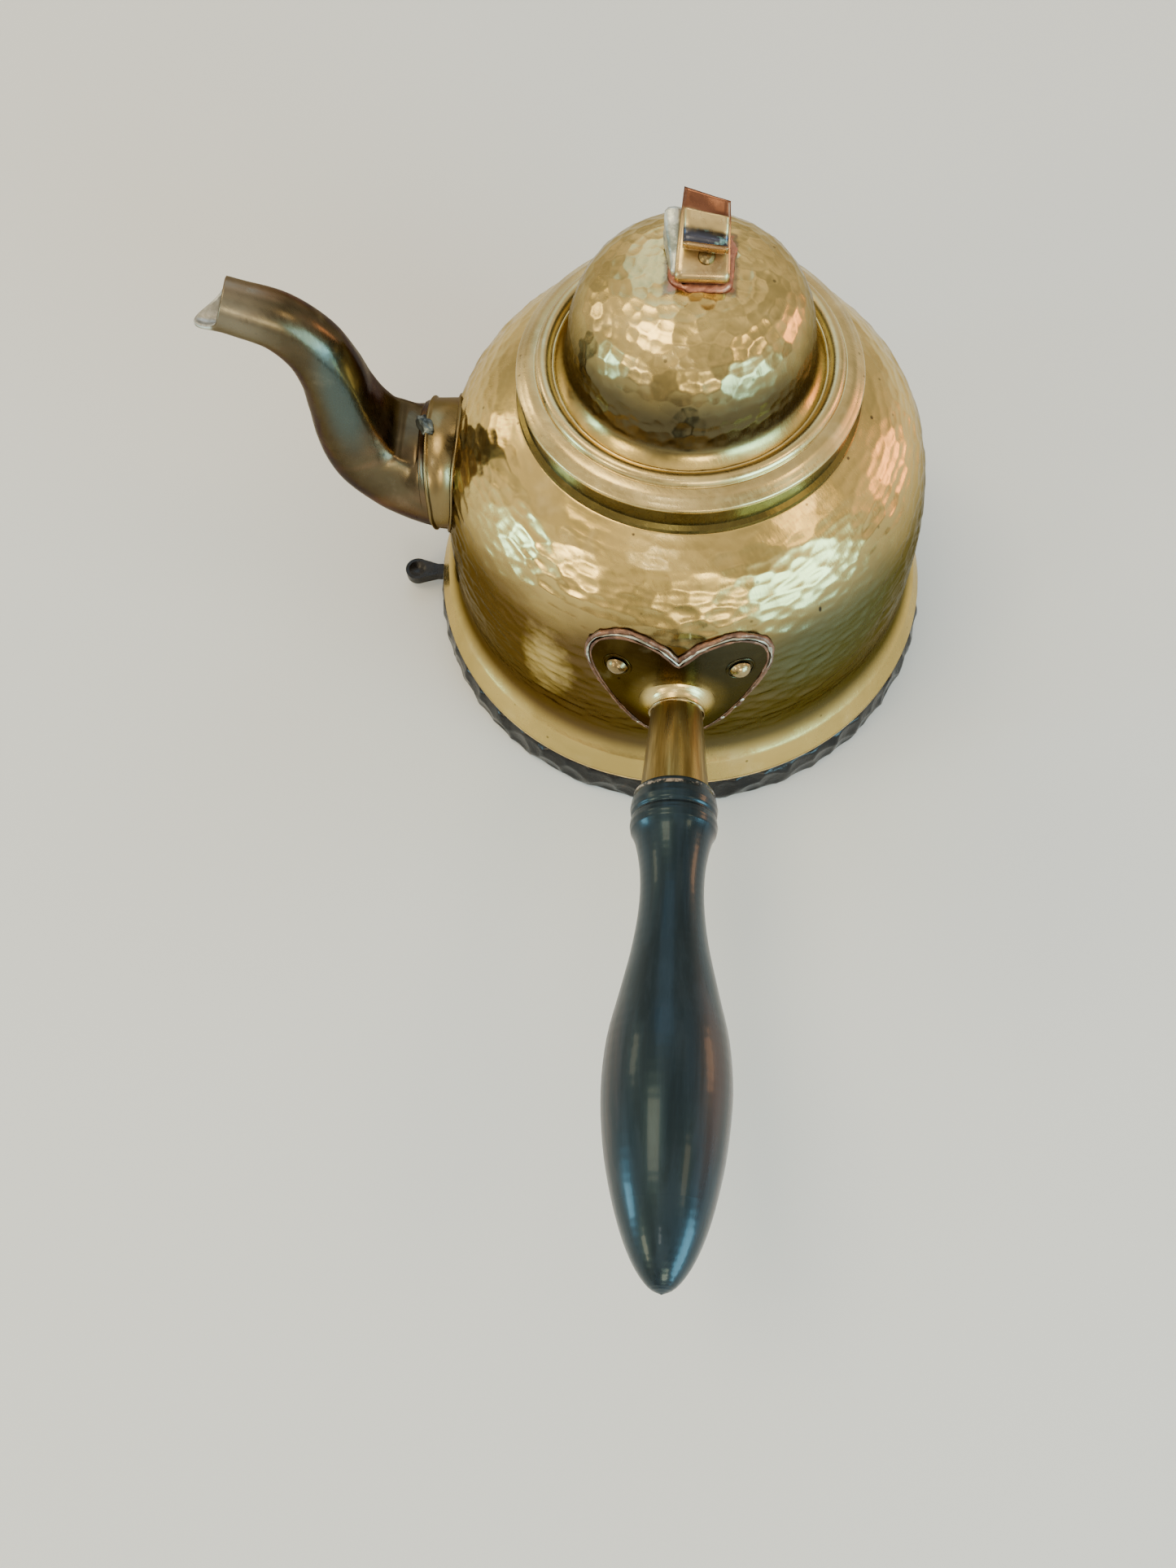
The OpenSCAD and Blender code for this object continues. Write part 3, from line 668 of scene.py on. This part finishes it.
out_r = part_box("trivet_ring")[1].x
side = spline([(out_r - 0.0008, 0), (out_r - 0.0001, 0.0012), (out_r, 0.0045), (out_r - 0.0005, 0.0078),
               (out_r - 0.0012, ring_top - 0.0005), (out_r - 0.0022, ring_top)], 6)
RCOLS = 720
side = resample(side, 22)
h = blows(side, RCOLS, 0.0044, 0.0085, 1.1, 0.0105, 0.09, 7)
h = np.clip(h, -0.0003, 0.0009)
h = h - h.max() + 0.00005 * soft_noise(turned(side, RCOLS), 0.003, 8).reshape(h.shape)
n = normals_2d(side)
fade = np.interp(np.arange(22), [0, 3, 19, 21], [0.25, 1, 0.9, 0.15])
rings = side[:, None, :] + n[:, None, :] * (h * fade[:, None])[..., None]
rings[..., 1] = np.clip(rings[..., 1], 0, ring_top)
inner = [(0.0692, ring_top), (0.0692, ring_top - 0.0025), (0.0698, ring_top - 0.004), (0.0698, 0)]
rings = np.concatenate([rings, np.repeat(np.array(inner)[:, None, :], RCOLS, 1)])
obj = make("forged_ring", turned(rings, RCOLS), grid_faces(len(rings), RCOLS, wrap_rows=True),
           "trivet", ["trivet_ring"])
give_material(obj, IRON)


# ---------------------------------------------------------------- spout

def spout_points():
    """Centre line in the spout's plane: distance from the axis, height and the tube's radius."""
    e, z = 0.0682, root
    # places in metres, radii in millimetres
    rows = [(e, z, 17), (0.073, z + 0.001, 15.6), (0.0785, z + 0.0044, 14.4), (0.0836, z + 0.010, 13.2),
            (0.0862, z + 0.0175, 11.4), (0.0876, z + 0.0265, 9.6), (0.0888, z + 0.0365, 8.4),
            (0.0918, z + 0.046, 7.6), (0.0978, z + 0.0536, 6.9), (0.106, z + 0.0578, 6.3),
            (0.110, z + 0.0596, 6.1)]
    return spline([(a, b, r * MM) for a, b, r in rows], 12)


mid = spout_points()
SIDES = 96
t = np.linspace(0, 2 * math.pi, SIDES, endpoint=False)
slope = np.gradient(mid[:, :2], axis=0)
rise = np.arctan2(slope[:, 1], slope[:, 0])
rise = np.minimum(rise, np.arcsin(np.clip(0.95 * (mid[:, 0] - mid[0, 0]) / mid[:, 2], 0, 1)))
way = np.stack([np.cos(rise), np.sin(rise)], 1)
s = np.arange(len(mid)) / 12
# how far the inner bend is pressed flat at each control point
fold = np.interp(s, [1.6, 2.6, 3.6, 5.2, 6.8], [0, 0.9, 1.0, 0.7, 0])


def spout_skin(inset):
    """Rings of the tube. Its inner bend is pressed flat between two creases."""
    r = np.repeat((mid[:, 2] - inset)[:, None], SIDES, 1)
    off = (t + math.pi) % (2 * math.pi) - math.pi
    crease = math.radians(44)
    flat = np.where(np.abs(off) < crease, math.cos(crease) / np.cos(np.clip(off, -1.2, 1.2)), 1)
    r = r * (1 + (flat - 1)[None, :] * fold[:, None])
    # the lip is drawn out downwards at the mouth
    near = np.clip((s - 6.6) / 3.4, 0, 1)[:, None] ** 2
    reach = 0.0065 * near * np.clip(-np.cos(t), 0, 1)[None, :] ** 3
    x = -(mid[:, :1] - way[:, 1:] * r * np.cos(t) + way[:, :1] * reach)
    y = r * np.sin(t)
    z = mid[:, 1:2] + way[:, :1] * r * np.cos(t) + way[:, 1:] * reach - 0.55 * reach
    return np.stack([x, y, z], -1)


outer, inside = spout_skin(0), spout_skin(0.0012)
lump = soft_noise(outer.reshape(-1, 3), 0.011, 41).reshape(outer.shape[:2])
calm = np.interp(s, [0, 0.6, 9, 10], [0, 1, 1, 0.3])[:, None]
centre = np.stack([-mid[:, 0], 0 * mid[:, 0], mid[:, 1]], 1)[:, None, :]
outer = outer + (outer - centre) * (np.minimum(lump, 0) * calm * 0.012)[..., None]
rim = (outer[-1] + inside[-1]) / 2 + [-0.00022, 0, 0.00008]
rows = np.concatenate([outer, rim[None], inside[::-1]])
# the tube is tinned inside
obj = make("swan_spout", rows.reshape(-1, 3), grid_faces(len(rows), SIDES, wrap_rows=True), "pot",
           ["spout_elbow", "spout_neck"])
give_material(obj, SPOUT, LINING)
tree = KDTree(len(outer) * SIDES)
for i, q in enumerate(inside.reshape(-1, 3)):
    tree.insert(q, i)
tree.balance()
for f in obj.data.polygons:
    f.material_index = 1 if tree.find(f.center)[2] < 0.00045 else 0


# ---------------------------------------------------------------- spout's root band

def band_ring(radius, out, from_wall):
    """A ring round the spout's root, out metres beyond the wall or the pot's axis."""
    pts = []
    for k in range(SIDES):
        y, z = radius * math.sin(t[k]), root + radius * math.cos(t[k])
        if from_wall:
            r = float(np.interp(z, wall[:, 1], wall[:, 0]))
            pts.append((-math.sqrt(r * r - y * y) - out, y, z))
        else:
            pts.append((-out, y, z))
    return pts


widest = float(wall[np.abs(wall[:, 1] - root) < 0.0185, 0].max())
rows = [band_ring(0.0162, -0.0004, True), band_ring(0.0187, -0.0003, True), band_ring(0.0186, 0.0002, True),
        band_ring(0.0181, 0.0004, True), band_ring(0.0176, 0.0004, True)]
rows += [band_ring(r, widest + e, False) for r, e in ((0.01735, 0.0005), (0.0175, 0.0009), (0.0179, 0.0012),
                                                      (0.0179, 0.0016), (0.0173, 0.0020), (0.0168, 0.0022))]
rows += [band_ring(0.0166, 0.0695, False), band_ring(0.0164, 0.0699, False), band_ring(0.0162, 0.0699, False)]
rows = np.array(rows)
rows[3:11] += 0.00012 * soft_noise(rows[3:11].reshape(-1, 3), 0.006, 45).reshape(8, SIDES)[..., None]
obj = make("root_band", rows.reshape(-1, 3), grid_faces(len(rows), SIDES, wrap_rows=True), "pot",
           ["spout_collar"])
give_material(obj, SPOUT)


# ---------------------------------------------------------------- seams, beads and blobs

wall_n = normals_2d(wall)


def on_wall(x, z, lift=0.0):
    """A point on the front of the vessel at (x, z), lifted off its skin, and the skin's normal."""
    r = float(np.interp(z, wall[:, 1], wall[:, 0]))
    nr = float(np.interp(z, wall[:, 1], wall_n[:, 0]))
    nz = float(np.interp(z, wall[:, 1], wall_n[:, 1]))
    p = Vector((x, -math.sqrt(max(r * r - x * x, 1e-9)), z))
    flat = Vector((p.x, p.y, 0)).normalized()
    up = (flat * nr + Vector((0, 0, nz))).normalized()
    return p + up * lift, up


def bead(name, places, width, height, body, material, seed, nodes=(), closed=True, rough=0.3,
         broad=1.0):
    """A raised uneven bead. places is a list of (point, normal). broad scales the width per point."""
    pts = np.array([p for p, _ in places])
    ups = np.array([u for _, u in places])
    nxt, prv = np.roll(pts, -1, 0), np.roll(pts, 1, 0)
    if not closed:
        nxt[-1], prv[0] = pts[-1], pts[0]
    along = nxt - prv
    along /= np.linalg.norm(along, axis=1)[:, None] + 1e-12
    across = np.cross(along, ups)
    across /= np.linalg.norm(across, axis=1)[:, None]
    size = broad * (1 + rough * soft_noise(pts, 0.0028, seed, 3))
    tall = 1 + rough * soft_noise(pts, 0.0019, seed + 1, 3)
    if not closed:
        taper = np.minimum(1, np.minimum(np.arange(len(pts)), np.arange(len(pts))[::-1]) / 6)
        size, tall = size * (0.15 + 0.85 * taper), tall * (0.1 + 0.9 * taper)
    verts = []
    for k, a in enumerate(turns(12)):
        lift = math.sin(a) if math.sin(a) > 0 else 0.35 * math.sin(a)
        jit = 1 + 0.16 * soft_noise(pts + 0.003 * k, 0.0011, seed + 2 + k, 2)
        verts.append(pts + across * (size * jit * width / 2 * math.cos(a))[:, None]
                     + ups * (tall * jit * height * lift)[:, None])
    verts = np.stack(verts, 1)
    faces = grid_faces(len(pts), 12, wrap_rows=closed)
    if not closed:
        faces += [tuple(range(12)), tuple((len(pts) - 1) * 12 + k for k in range(12))]
    obj = make(name, verts.reshape(-1, 3), faces, body, nodes)
    give_material(obj, material)
    return obj


def blob(name, place, size, body, material, seed, squash=0.45, turn=0.0):
    """A small lump of metal on a surface. size is (across, along) in metres."""
    p, up = place
    across = Vector((0, 0, 1)).cross(up).normalized()
    other = up.cross(across)
    bm = bmesh.new()
    bmesh.ops.create_icosphere(bm, subdivisions=4, radius=1)
    co = np.array([v.co for v in bm.verts])
    bulge = 1 + 0.22 * soft_noise(co, 0.5, seed, 3)
    c, s_ = math.cos(turn), math.sin(turn)
    for v, q, b in zip(bm.verts, co, bulge):
        u, w = q[0] * size[0] / 2 * b, q[1] * size[1] / 2 * b
        v.co = (p + across * (c * u - s_ * w) + other * (s_ * u + c * w)
                + up * (q[2] * b * squash * min(size) / 2))
    mesh = bpy.data.meshes.new(name)
    bm.to_mesh(mesh)
    bm.free()
    mesh.shade_smooth()
    obj = placed(name, mesh, body)
    give_material(obj, material)
    return obj


HANDLE_Z = 0.0515
# the right half of the heart's edge from its dip to its point, in millimetres, and its mirror image
heart = spline([(0, 15.5), (5.5, 20.6), (13.5, 22.8), (20.4, 19.8), (22.4, 13), (18.6, 2.5), (10.6, -11.5),
                (0, -23)], 16) * MM
heart = resample(heart, 150)
heart = np.concatenate([heart, heart[-2:0:-1] * [-1, 1]]) + [0, HANDLE_Z]
d = np.roll(heart, -1, 0) - np.roll(heart, 1, 0)
d /= np.linalg.norm(d, axis=1)[:, None]
heart_out = np.stack([-d[:, 1], d[:, 0]], 1)


def round_heart(offset, lift):
    """Places round the heart's edge, moved outwards by offset and off the wall by lift."""
    return [on_wall(x + a * offset, z + b * offset, lift) for (x, z), (a, b) in zip(heart, heart_out)]


lobe = np.interp(heart[:, 1], [0.052, 0.064], [0.0, 1.0])
bead("braze_seam", round_heart(0.0004, 0.0001), 0.0011, 0.00070, "pot", BRAZE, 51,
     ["plate_braze"], rough=0.3, broad=1 + 0.5 * lobe)
bead("braze_inner", round_heart(-0.0007, 0.0009), 0.0007, 0.00022, "pot", BRAZE, 52,
     rough=0.5, broad=0.35 + 0.65 * lobe)
seam_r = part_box("lid_dome")[1].x
ring = [(polar(seam_r, 3 * k, 0.1031), polar(0.5, 3 * k, 0.9)) for k in range(120)]
bead("brim_seam", ring, 0.0012, 0.0004, "lid", SHEET, 57, rough=0.08)
# silver solder along the heart's upper part. The outline starts in the dip, so its end comes first
upper = [i for i, (x, z) in enumerate(heart) if z > 0.0615]
order = [i for i in upper if i >= 150] + [i for i in upper if i < 150]
places = [on_wall(heart[i][0] + heart_out[i][0] * 0.0001, heart[i][1] + heart_out[i][1] * 0.0001, 0.00085)
          for i in order]
bead("silver_seam", places, 0.00055, 0.00032, "pot", SILVER, 53, closed=False, rough=0.65)
# drops of silver solder, as across, height from the handle's root, and width in millimetres
for i, (x, dz, w) in enumerate(((17.6, -1.5, 1.3), (16.0, -4.6, 1.0), (12.6, -9.2, 1.3),
                                (-9.6, -12.6, 0.9))):
    goal = np.array([x * MM, HANDLE_Z + dz * MM])
    q = min(range(len(heart)), key=lambda k: np.abs(heart[k] - goal).sum())
    blob(f"seam_drop_{i}", on_wall(heart[q][0], heart[q][1], 0.0008), (w * MM, w * 0.75 * MM), "pot",
         SILVER, 60 + i, 0.5, 0.6)
RIVET_X, RIVET_Z, RIVET_R = 0.0152, 0.0642, 0.0033
for side_x in (-1, 1):
    ring = [on_wall(side_x * RIVET_X + RIVET_R * math.cos(a), RIVET_Z + RIVET_R * math.sin(a), 0.00088)
            for a in turns(40)]
    bead(f"rivet_ring_{'l' if side_x < 0 else 'r'}", ring, 0.0008, 0.0003, "pot", PLATE,
         70 + side_x, rough=0.35)
SOLDER_DARK = tin("solder_dark", (0.15, 0.18, 0.18), (0.014, 0.018, 0.02))
lump_up = Vector((-0.2, -0.1, 1)).normalized()
blob("collar_blob", (Vector((-0.0684, -0.0006, root + 0.0171)), lump_up), (0.0072, 0.0036), "pot",
     SOLDER_DARK, 81, 0.5, 0.1)


# ---------------------------------------------------------------- handle

TILT = math.radians(8)
handle = Matrix.Translation((0, -0.066, HANDLE_Z)) @ Matrix.Rotation(math.pi / 2 - TILT, 4, "X")
local = handle.inverted()
# the grip's outline: the largest radius at each place along the handle
seen = {}
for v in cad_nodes["handle_grip"].data.vertices:
    q = local @ v.co
    key = round(q.z, 5)
    seen[key] = max(seen.get(key, 0), math.hypot(q.x, q.y))
GRIP_START = 0.028
outline = sorted(q for q in seen.items() if q[0] > GRIP_START + 0.0001)
outline = spline([(GRIP_START, 0.0084)] + outline, 5)
outline[-1, 1] = 0
outline[:, 1] = np.maximum(outline[:, 1], 0)
profile = np.concatenate([[(0, outline[0, 0])], outline[:, ::-1]])
GCOLS = 160
rings = np.repeat(profile[:, None, :], GCOLS, 1)
uneven = soft_noise(turned(profile, GCOLS), 0.02, 91).reshape(len(profile), GCOLS)
rings[..., 0] *= 1 - 0.006 * np.abs(uneven)
obj = make("turned_grip", turned(rings, GCOLS, handle), grid_faces(len(profile), GCOLS), "pot",
           ["handle_grip"])
give_material(obj, GRIP)
# the bright seam round the socket's foot
ring = []
for a in turns(72):
    flat = Vector((math.cos(a), math.sin(a), 0))
    ring.append((handle @ (flat * 0.0068 + Vector((0, 0, 0.0043))),
                 (handle.to_3x3() @ (flat + Vector((0, 0, 1)))).normalized()))
bead("socket_seam", ring, 0.0008, 0.00035, "pot", RIVET, 92, rough=0.8)


# ---------------------------------------------------------------- strap on the lid

def ribbon(name, line, width, thick, twist, shift, body, material, nodes, seed, lining=None):
    """A bent strip with rounded edges. line holds (y, z) of its outer side, in metres. twist gives
    the turn about the vertical, in radians, and width the breadth, both per point."""
    line = np.array(line, float)
    n = -normals_2d(line)
    inner = line - n * thick
    sections = 14
    verts = []
    for i in range(len(line)):
        for k in range(2 * sections):
            top_side = k < sections
            u = -1 + 2 * (k if top_side else 2 * sections - 1 - k) / (sections - 1)
            pull = max(0.0, (abs(u) - 0.86) / 0.14) ** 2 * thick * 0.35
            y, z = (line[i] - n[i] * pull) if top_side else (inner[i] + n[i] * pull)
            x = u * width[i] / 2
            verts.append((shift[i] + math.cos(twist[i]) * x, y + math.sin(twist[i]) * x, z))
    verts = np.array(verts)
    verts += 0.00007 * np.stack([soft_noise(verts, 0.004, seed + q) for q in range(3)], 1)
    m = 2 * sections
    ends = [tuple(range(m))[::-1], tuple((len(line) - 1) * m + k for k in range(m))]
    faces = grid_faces(len(line), m) + ends
    obj = make(name, verts, faces, body, nodes)
    give_material(obj, material, *([lining] if lining else []))
    if lining:
        for i, f in enumerate(obj.data.polygons[:(len(line) - 1) * m]):
            f.material_index = 1 if sections <= i % m < m - 1 else 0
    return obj


strap_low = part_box("finial_strap")[0].z
strap_x = (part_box("finial_strap")[0].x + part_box("finial_strap")[1].x) / 2
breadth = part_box("finial_strap")[1].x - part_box("finial_strap")[0].x
lean = math.radians(28)
fold_c = (-0.004, strap_low + 0.002)
start = np.array([fold_c[0] - 0.002 * math.sin(lean), fold_c[1] + 0.002 * math.cos(lean)])
leg = np.array([math.cos(lean), math.sin(lean)])
line = [(0.0088, strap_low), (0.003, strap_low)] + arc(*fold_c, 0.002, 270, 118, 12)
line += [tuple(q) for q in spline([start + leg * 0.0028, start + leg * 0.0055, (0.003, strap_low + 0.0080),
                                   (0.0058, strap_low + 0.0101), (0.0080, strap_low + 0.0126)], 6)]
line = resample(line, 60)
far = np.linspace(0, 1, 60)
HOT = brass_sheet("brass_heated", (0.52, 0.38, 0.17), (0.33, 0.2, 0.1), (0.66, 0.52, 0.3))
top_edge = Paint("strap")
tint = wear(top_edge, (0.54, 0.42, 0.2), (0.36, 0.25, 0.12), (0.66, 0.54, 0.32), 0.006)
height = top_edge.maths("ADD", top_edge.axis(2), top_edge.maths("MULTIPLY", top_edge.noise(0.004, 4), 0.003))
burnt = top_edge.ramp(height, strap_low + 0.0098, strap_low + 0.0118)
tint = top_edge.mix(burnt, tint, (0.17, 0.075, 0.045))
top_edge.set(Base_Color=tint, Metallic=1.0)
polish(top_edge, 0.22, 0.4, 0.006)
ribbon("bent_strap", line,
       np.interp(far, [0, 0.62, 1], [breadth + 0.0006, breadth + 0.0004, breadth - 0.0006]), 0.0011,
       np.interp(far, [0, 0.55, 0.8, 1], [0, 0, -0.18, -0.40]),
       strap_x + np.interp(far, [0, 0.6, 1], [0, 0, 0.0005]), "lid", top_edge.material,
       ["finial_strap"], 101)
curl_c = (-0.0006, strap_low + 0.0093)
curl = arc(*curl_c, 0.0032, 176, 345, 26) + [(0.0035, strap_low + 0.0096), (0.0047, strap_low + 0.0107)]
curl = resample(curl, 44)
# painted shade: the inside of the curl is painted dark in its deep part, with green-blue patches there
shaded_trough = Paint("shaded_trough")
deep = shaded_trough.maths("ADD", shaded_trough.axis(2), shaded_trough.maths("MULTIPLY", shaded_trough.noise(0.003, 4), 0.0024))
edge = shaded_trough.ramp(deep, strap_low + 0.0090, strap_low + 0.0108)
tint = shaded_trough.mix(edge, (0.055, 0.06, 0.085), (0.5, 0.38, 0.18))
green = shaded_trough.ramp(shaded_trough.noise(0.0026, 3), 0.55, 0.62, 0, 0.7)
green = shaded_trough.maths("MULTIPLY", green, shaded_trough.ramp(deep, strap_low + 0.0092, strap_low + 0.01, 1, 0))
tint = shaded_trough.mix(green, tint, (0.25, 0.52, 0.55))
shaded_trough.set(Base_Color=tint, Metallic=1.0)
polish(shaded_trough, 0.24, 0.4, 0.006)
ribbon("open_curl", curl[::-1], np.full(44, breadth - 0.0014), 0.0009, np.linspace(-0.26, -0.14, 44),
       strap_x + np.full(44, 0.0004), "lid", HOT, ["finial_scroll"], 111, shaded_trough.material)

# tin run into the wedge under the leg, and a rough copper-coloured fillet round the foot
wedge = [(0.0086, 0.0002), (-0.0032, 0.0002), (-0.0036, 0.0022), (0.0, 0.0044), (0.003, 0.0062),
         (0.0080, 0.0088)]
wedge = resample(np.array(wedge + wedge[:1]), 60)[:-1]
layers = []
mid_w = wedge.mean(0)
# its slices across the strap: place and size
slices = ((-0.0066, 0.72), (-0.0069, 0.9), (-0.0066, 1.0), (-0.0058, 1.02), (-0.0042, 1.0))
last = len(slices) - 1
for k, (x, grow) in enumerate(slices):
    q = mid_w + (wedge - mid_w) * grow
    flare = np.clip((q[:, 0] + 0.003) / 0.0115, 0, 1) * 0.0026 * (1 - k / last)
    layers.append(np.stack([strap_x + x - flare, q[:, 0], strap_low + q[:, 1]], 1))
layers = np.concatenate(layers)
layers += 0.00022 * np.stack([soft_noise(layers, 0.0028, 121 + q, 3) for q in range(3)], 1)
n_w = len(wedge)
faces = grid_faces(len(slices), n_w) + [tuple(range(n_w)), tuple(last * n_w + k for k in range(n_w))]
obj = make("tin_wedge", layers, faces, "lid")
give_material(obj, TIN)
places = []
for a in turns(120):
    x = (abs(math.cos(a)) ** 0.4) * math.copysign(1, math.cos(a)) * 0.0063
    y = (abs(math.sin(a)) ** 0.4) * math.copysign(1, math.sin(a)) * 0.0078
    px, py = strap_x + x, 0.0022 + y
    r = math.hypot(px, py)
    z = float(np.interp(r, dome[::-1, 0], dome[::-1, 1]))
    places.append((Vector((px, py, z)), Vector((px * 0.35, py * 0.35, 0.03)).normalized()))
bead("foot_fillet", places, 0.0019, 0.0009, "lid", STAIN, 131, ["finial_solder"], rough=0.45)

for node, material in {
    "neck_collar": SHADED_NECK, "handle_plate": PLATE, "handle_rivets": RIVET,
    "handle_socket": SOCKET, "grip_pin": SOCKET, "lid_bezel": SHEET, "finial_rivet": SPOUT,
    "trivet_lug": IRON,
}.items():
    give_material(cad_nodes[node], material)


# ---------------------------------------------------------------- floor, light and camera

FAR = 40
floor = bpy.data.meshes.new("floor")
floor.from_pydata([(-FAR, -FAR, 0), (FAR, -FAR, 0), (FAR, FAR, 0), (-FAR, FAR, 0)], [], [(0, 1, 2, 3)])
floor = bpy.data.objects.new("floor", floor)
bpy.context.scene.collection.objects.link(floor)
p = Paint("floor")
p.set(Base_Color=p.mix(p.noise(0.4), (0.70, 0.72, 0.74), (0.73, 0.75, 0.77)), Roughness=0.9)
give_material(floor, p.material)

world = bpy.data.worlds.new("studio")
bpy.context.scene.world = world
world.use_nodes = True
# a soft room, uneven enough for the hammer marks to pick up
room = Paint(tree=world.node_tree)
around = room.node("ShaderNodeTexCoord").outputs["Generated"]
tone = room.ramp(room.noise(0.26, 2.0, 0.6, where=around), 0.40, 0.62)
sky = world.node_tree.nodes["Background"]
tone = room.mix(tone, (0.48, 0.45, 0.36), (1.06, 0.94, 0.76))
to_camera = room.node("ShaderNodeLightPath").outputs["Is Camera Ray"]
room.put(sky.inputs["Color"], room.mix(to_camera, tone, (0.66, 0.64, 0.595)))
sky.inputs["Strength"].default_value = 1.2


def panel(name, azimuth, elevation, distance, width, height, colour, power):
    """A soft light that faces the pot from a direction."""
    light = bpy.data.lights.new(name, "AREA")
    light.shape, light.size, light.size_y = "RECTANGLE", width, height
    light.color, light.energy = colour, power
    obj = bpy.data.objects.new(name, light)
    e = math.radians(elevation)
    back = polar(math.cos(e), azimuth, math.sin(e))
    obj.location = Vector((0, 0, 0.07)) + back * distance
    obj.rotation_euler = (-back).to_track_quat("-Z", "Y").to_euler()
    bpy.context.scene.collection.objects.link(obj)


panel("window", 50, 13, 1.6, 1.05, 0.66, (0.36, 0.80, 1.0), 26)
panel("window_left", -73, 7, 1.6, 0.28, 0.5, (0.36, 0.80, 1.0), 7)
panel("lamp_left", -50, 24, 1.6, 0.35, 0.3, (1.0, 0.84, 0.5), 5)
panel("lamp_front", 10, 24, 1.6, 0.5, 0.25, (1.0, 0.86, 0.55), 5)
panel("warm_right", 108, 8, 1.6, 0.5, 0.4, (1.0, 0.42, 0.18), 5)
panel("warm_front_right", 76, 48, 1.6, 0.4, 0.3, (1.0, 0.74, 0.4), 2.4)
panel("warm_left", -112, 22, 1.6, 0.4, 0.3, (1.0, 0.82, 0.5), 2.4)
panel("warm_above", -90, 67, 1.6, 0.6, 0.6, (1.0, 0.82, 0.5), 9)
panel("spot_above", -15, 56, 1.7, 0.16, 0.16, (1.0, 0.97, 0.9), 1.0)
panel("sky_behind", -168, 44, 1.6, 0.9, 0.8, (0.2, 0.6, 1.0), 2.4)

# The camera stands on the handle's side, looks down, and is turned off the pot's axis so that the
# pot sits high in the picture. The three turns are its own, in degrees.
cam = bpy.data.cameras.new("camera")
cam.sensor_fit, cam.sensor_width, cam.sensor_height = "VERTICAL", 36, 36
cam.lens = 29.9
camera = bpy.data.objects.new("camera", cam)
bpy.context.scene.collection.objects.link(camera)
bpy.context.scene.camera = camera
aim = Vector((0, 0, 0.011))
azimuth, elevation, distance = -1.2, 57.53, 0.4052
back = polar(math.cos(math.radians(elevation)), azimuth, math.sin(math.radians(elevation)))
right = Vector((0, 0, 1)).cross(back).normalized()
look = Matrix((right, back.cross(right), back))
roll, pitch, yaw = math.radians(-2.495), math.radians(9.632), math.radians(-3.514)
turn = Matrix.Rotation(roll, 3, "Z") @ Matrix.Rotation(pitch, 3, "X") @ Matrix.Rotation(yaw, 3, "Y")
camera.matrix_world = Matrix.Translation(aim + back * distance) @ (turn @ look).transposed().to_4x4()
cam.clip_start, cam.clip_end = 0.01, 50
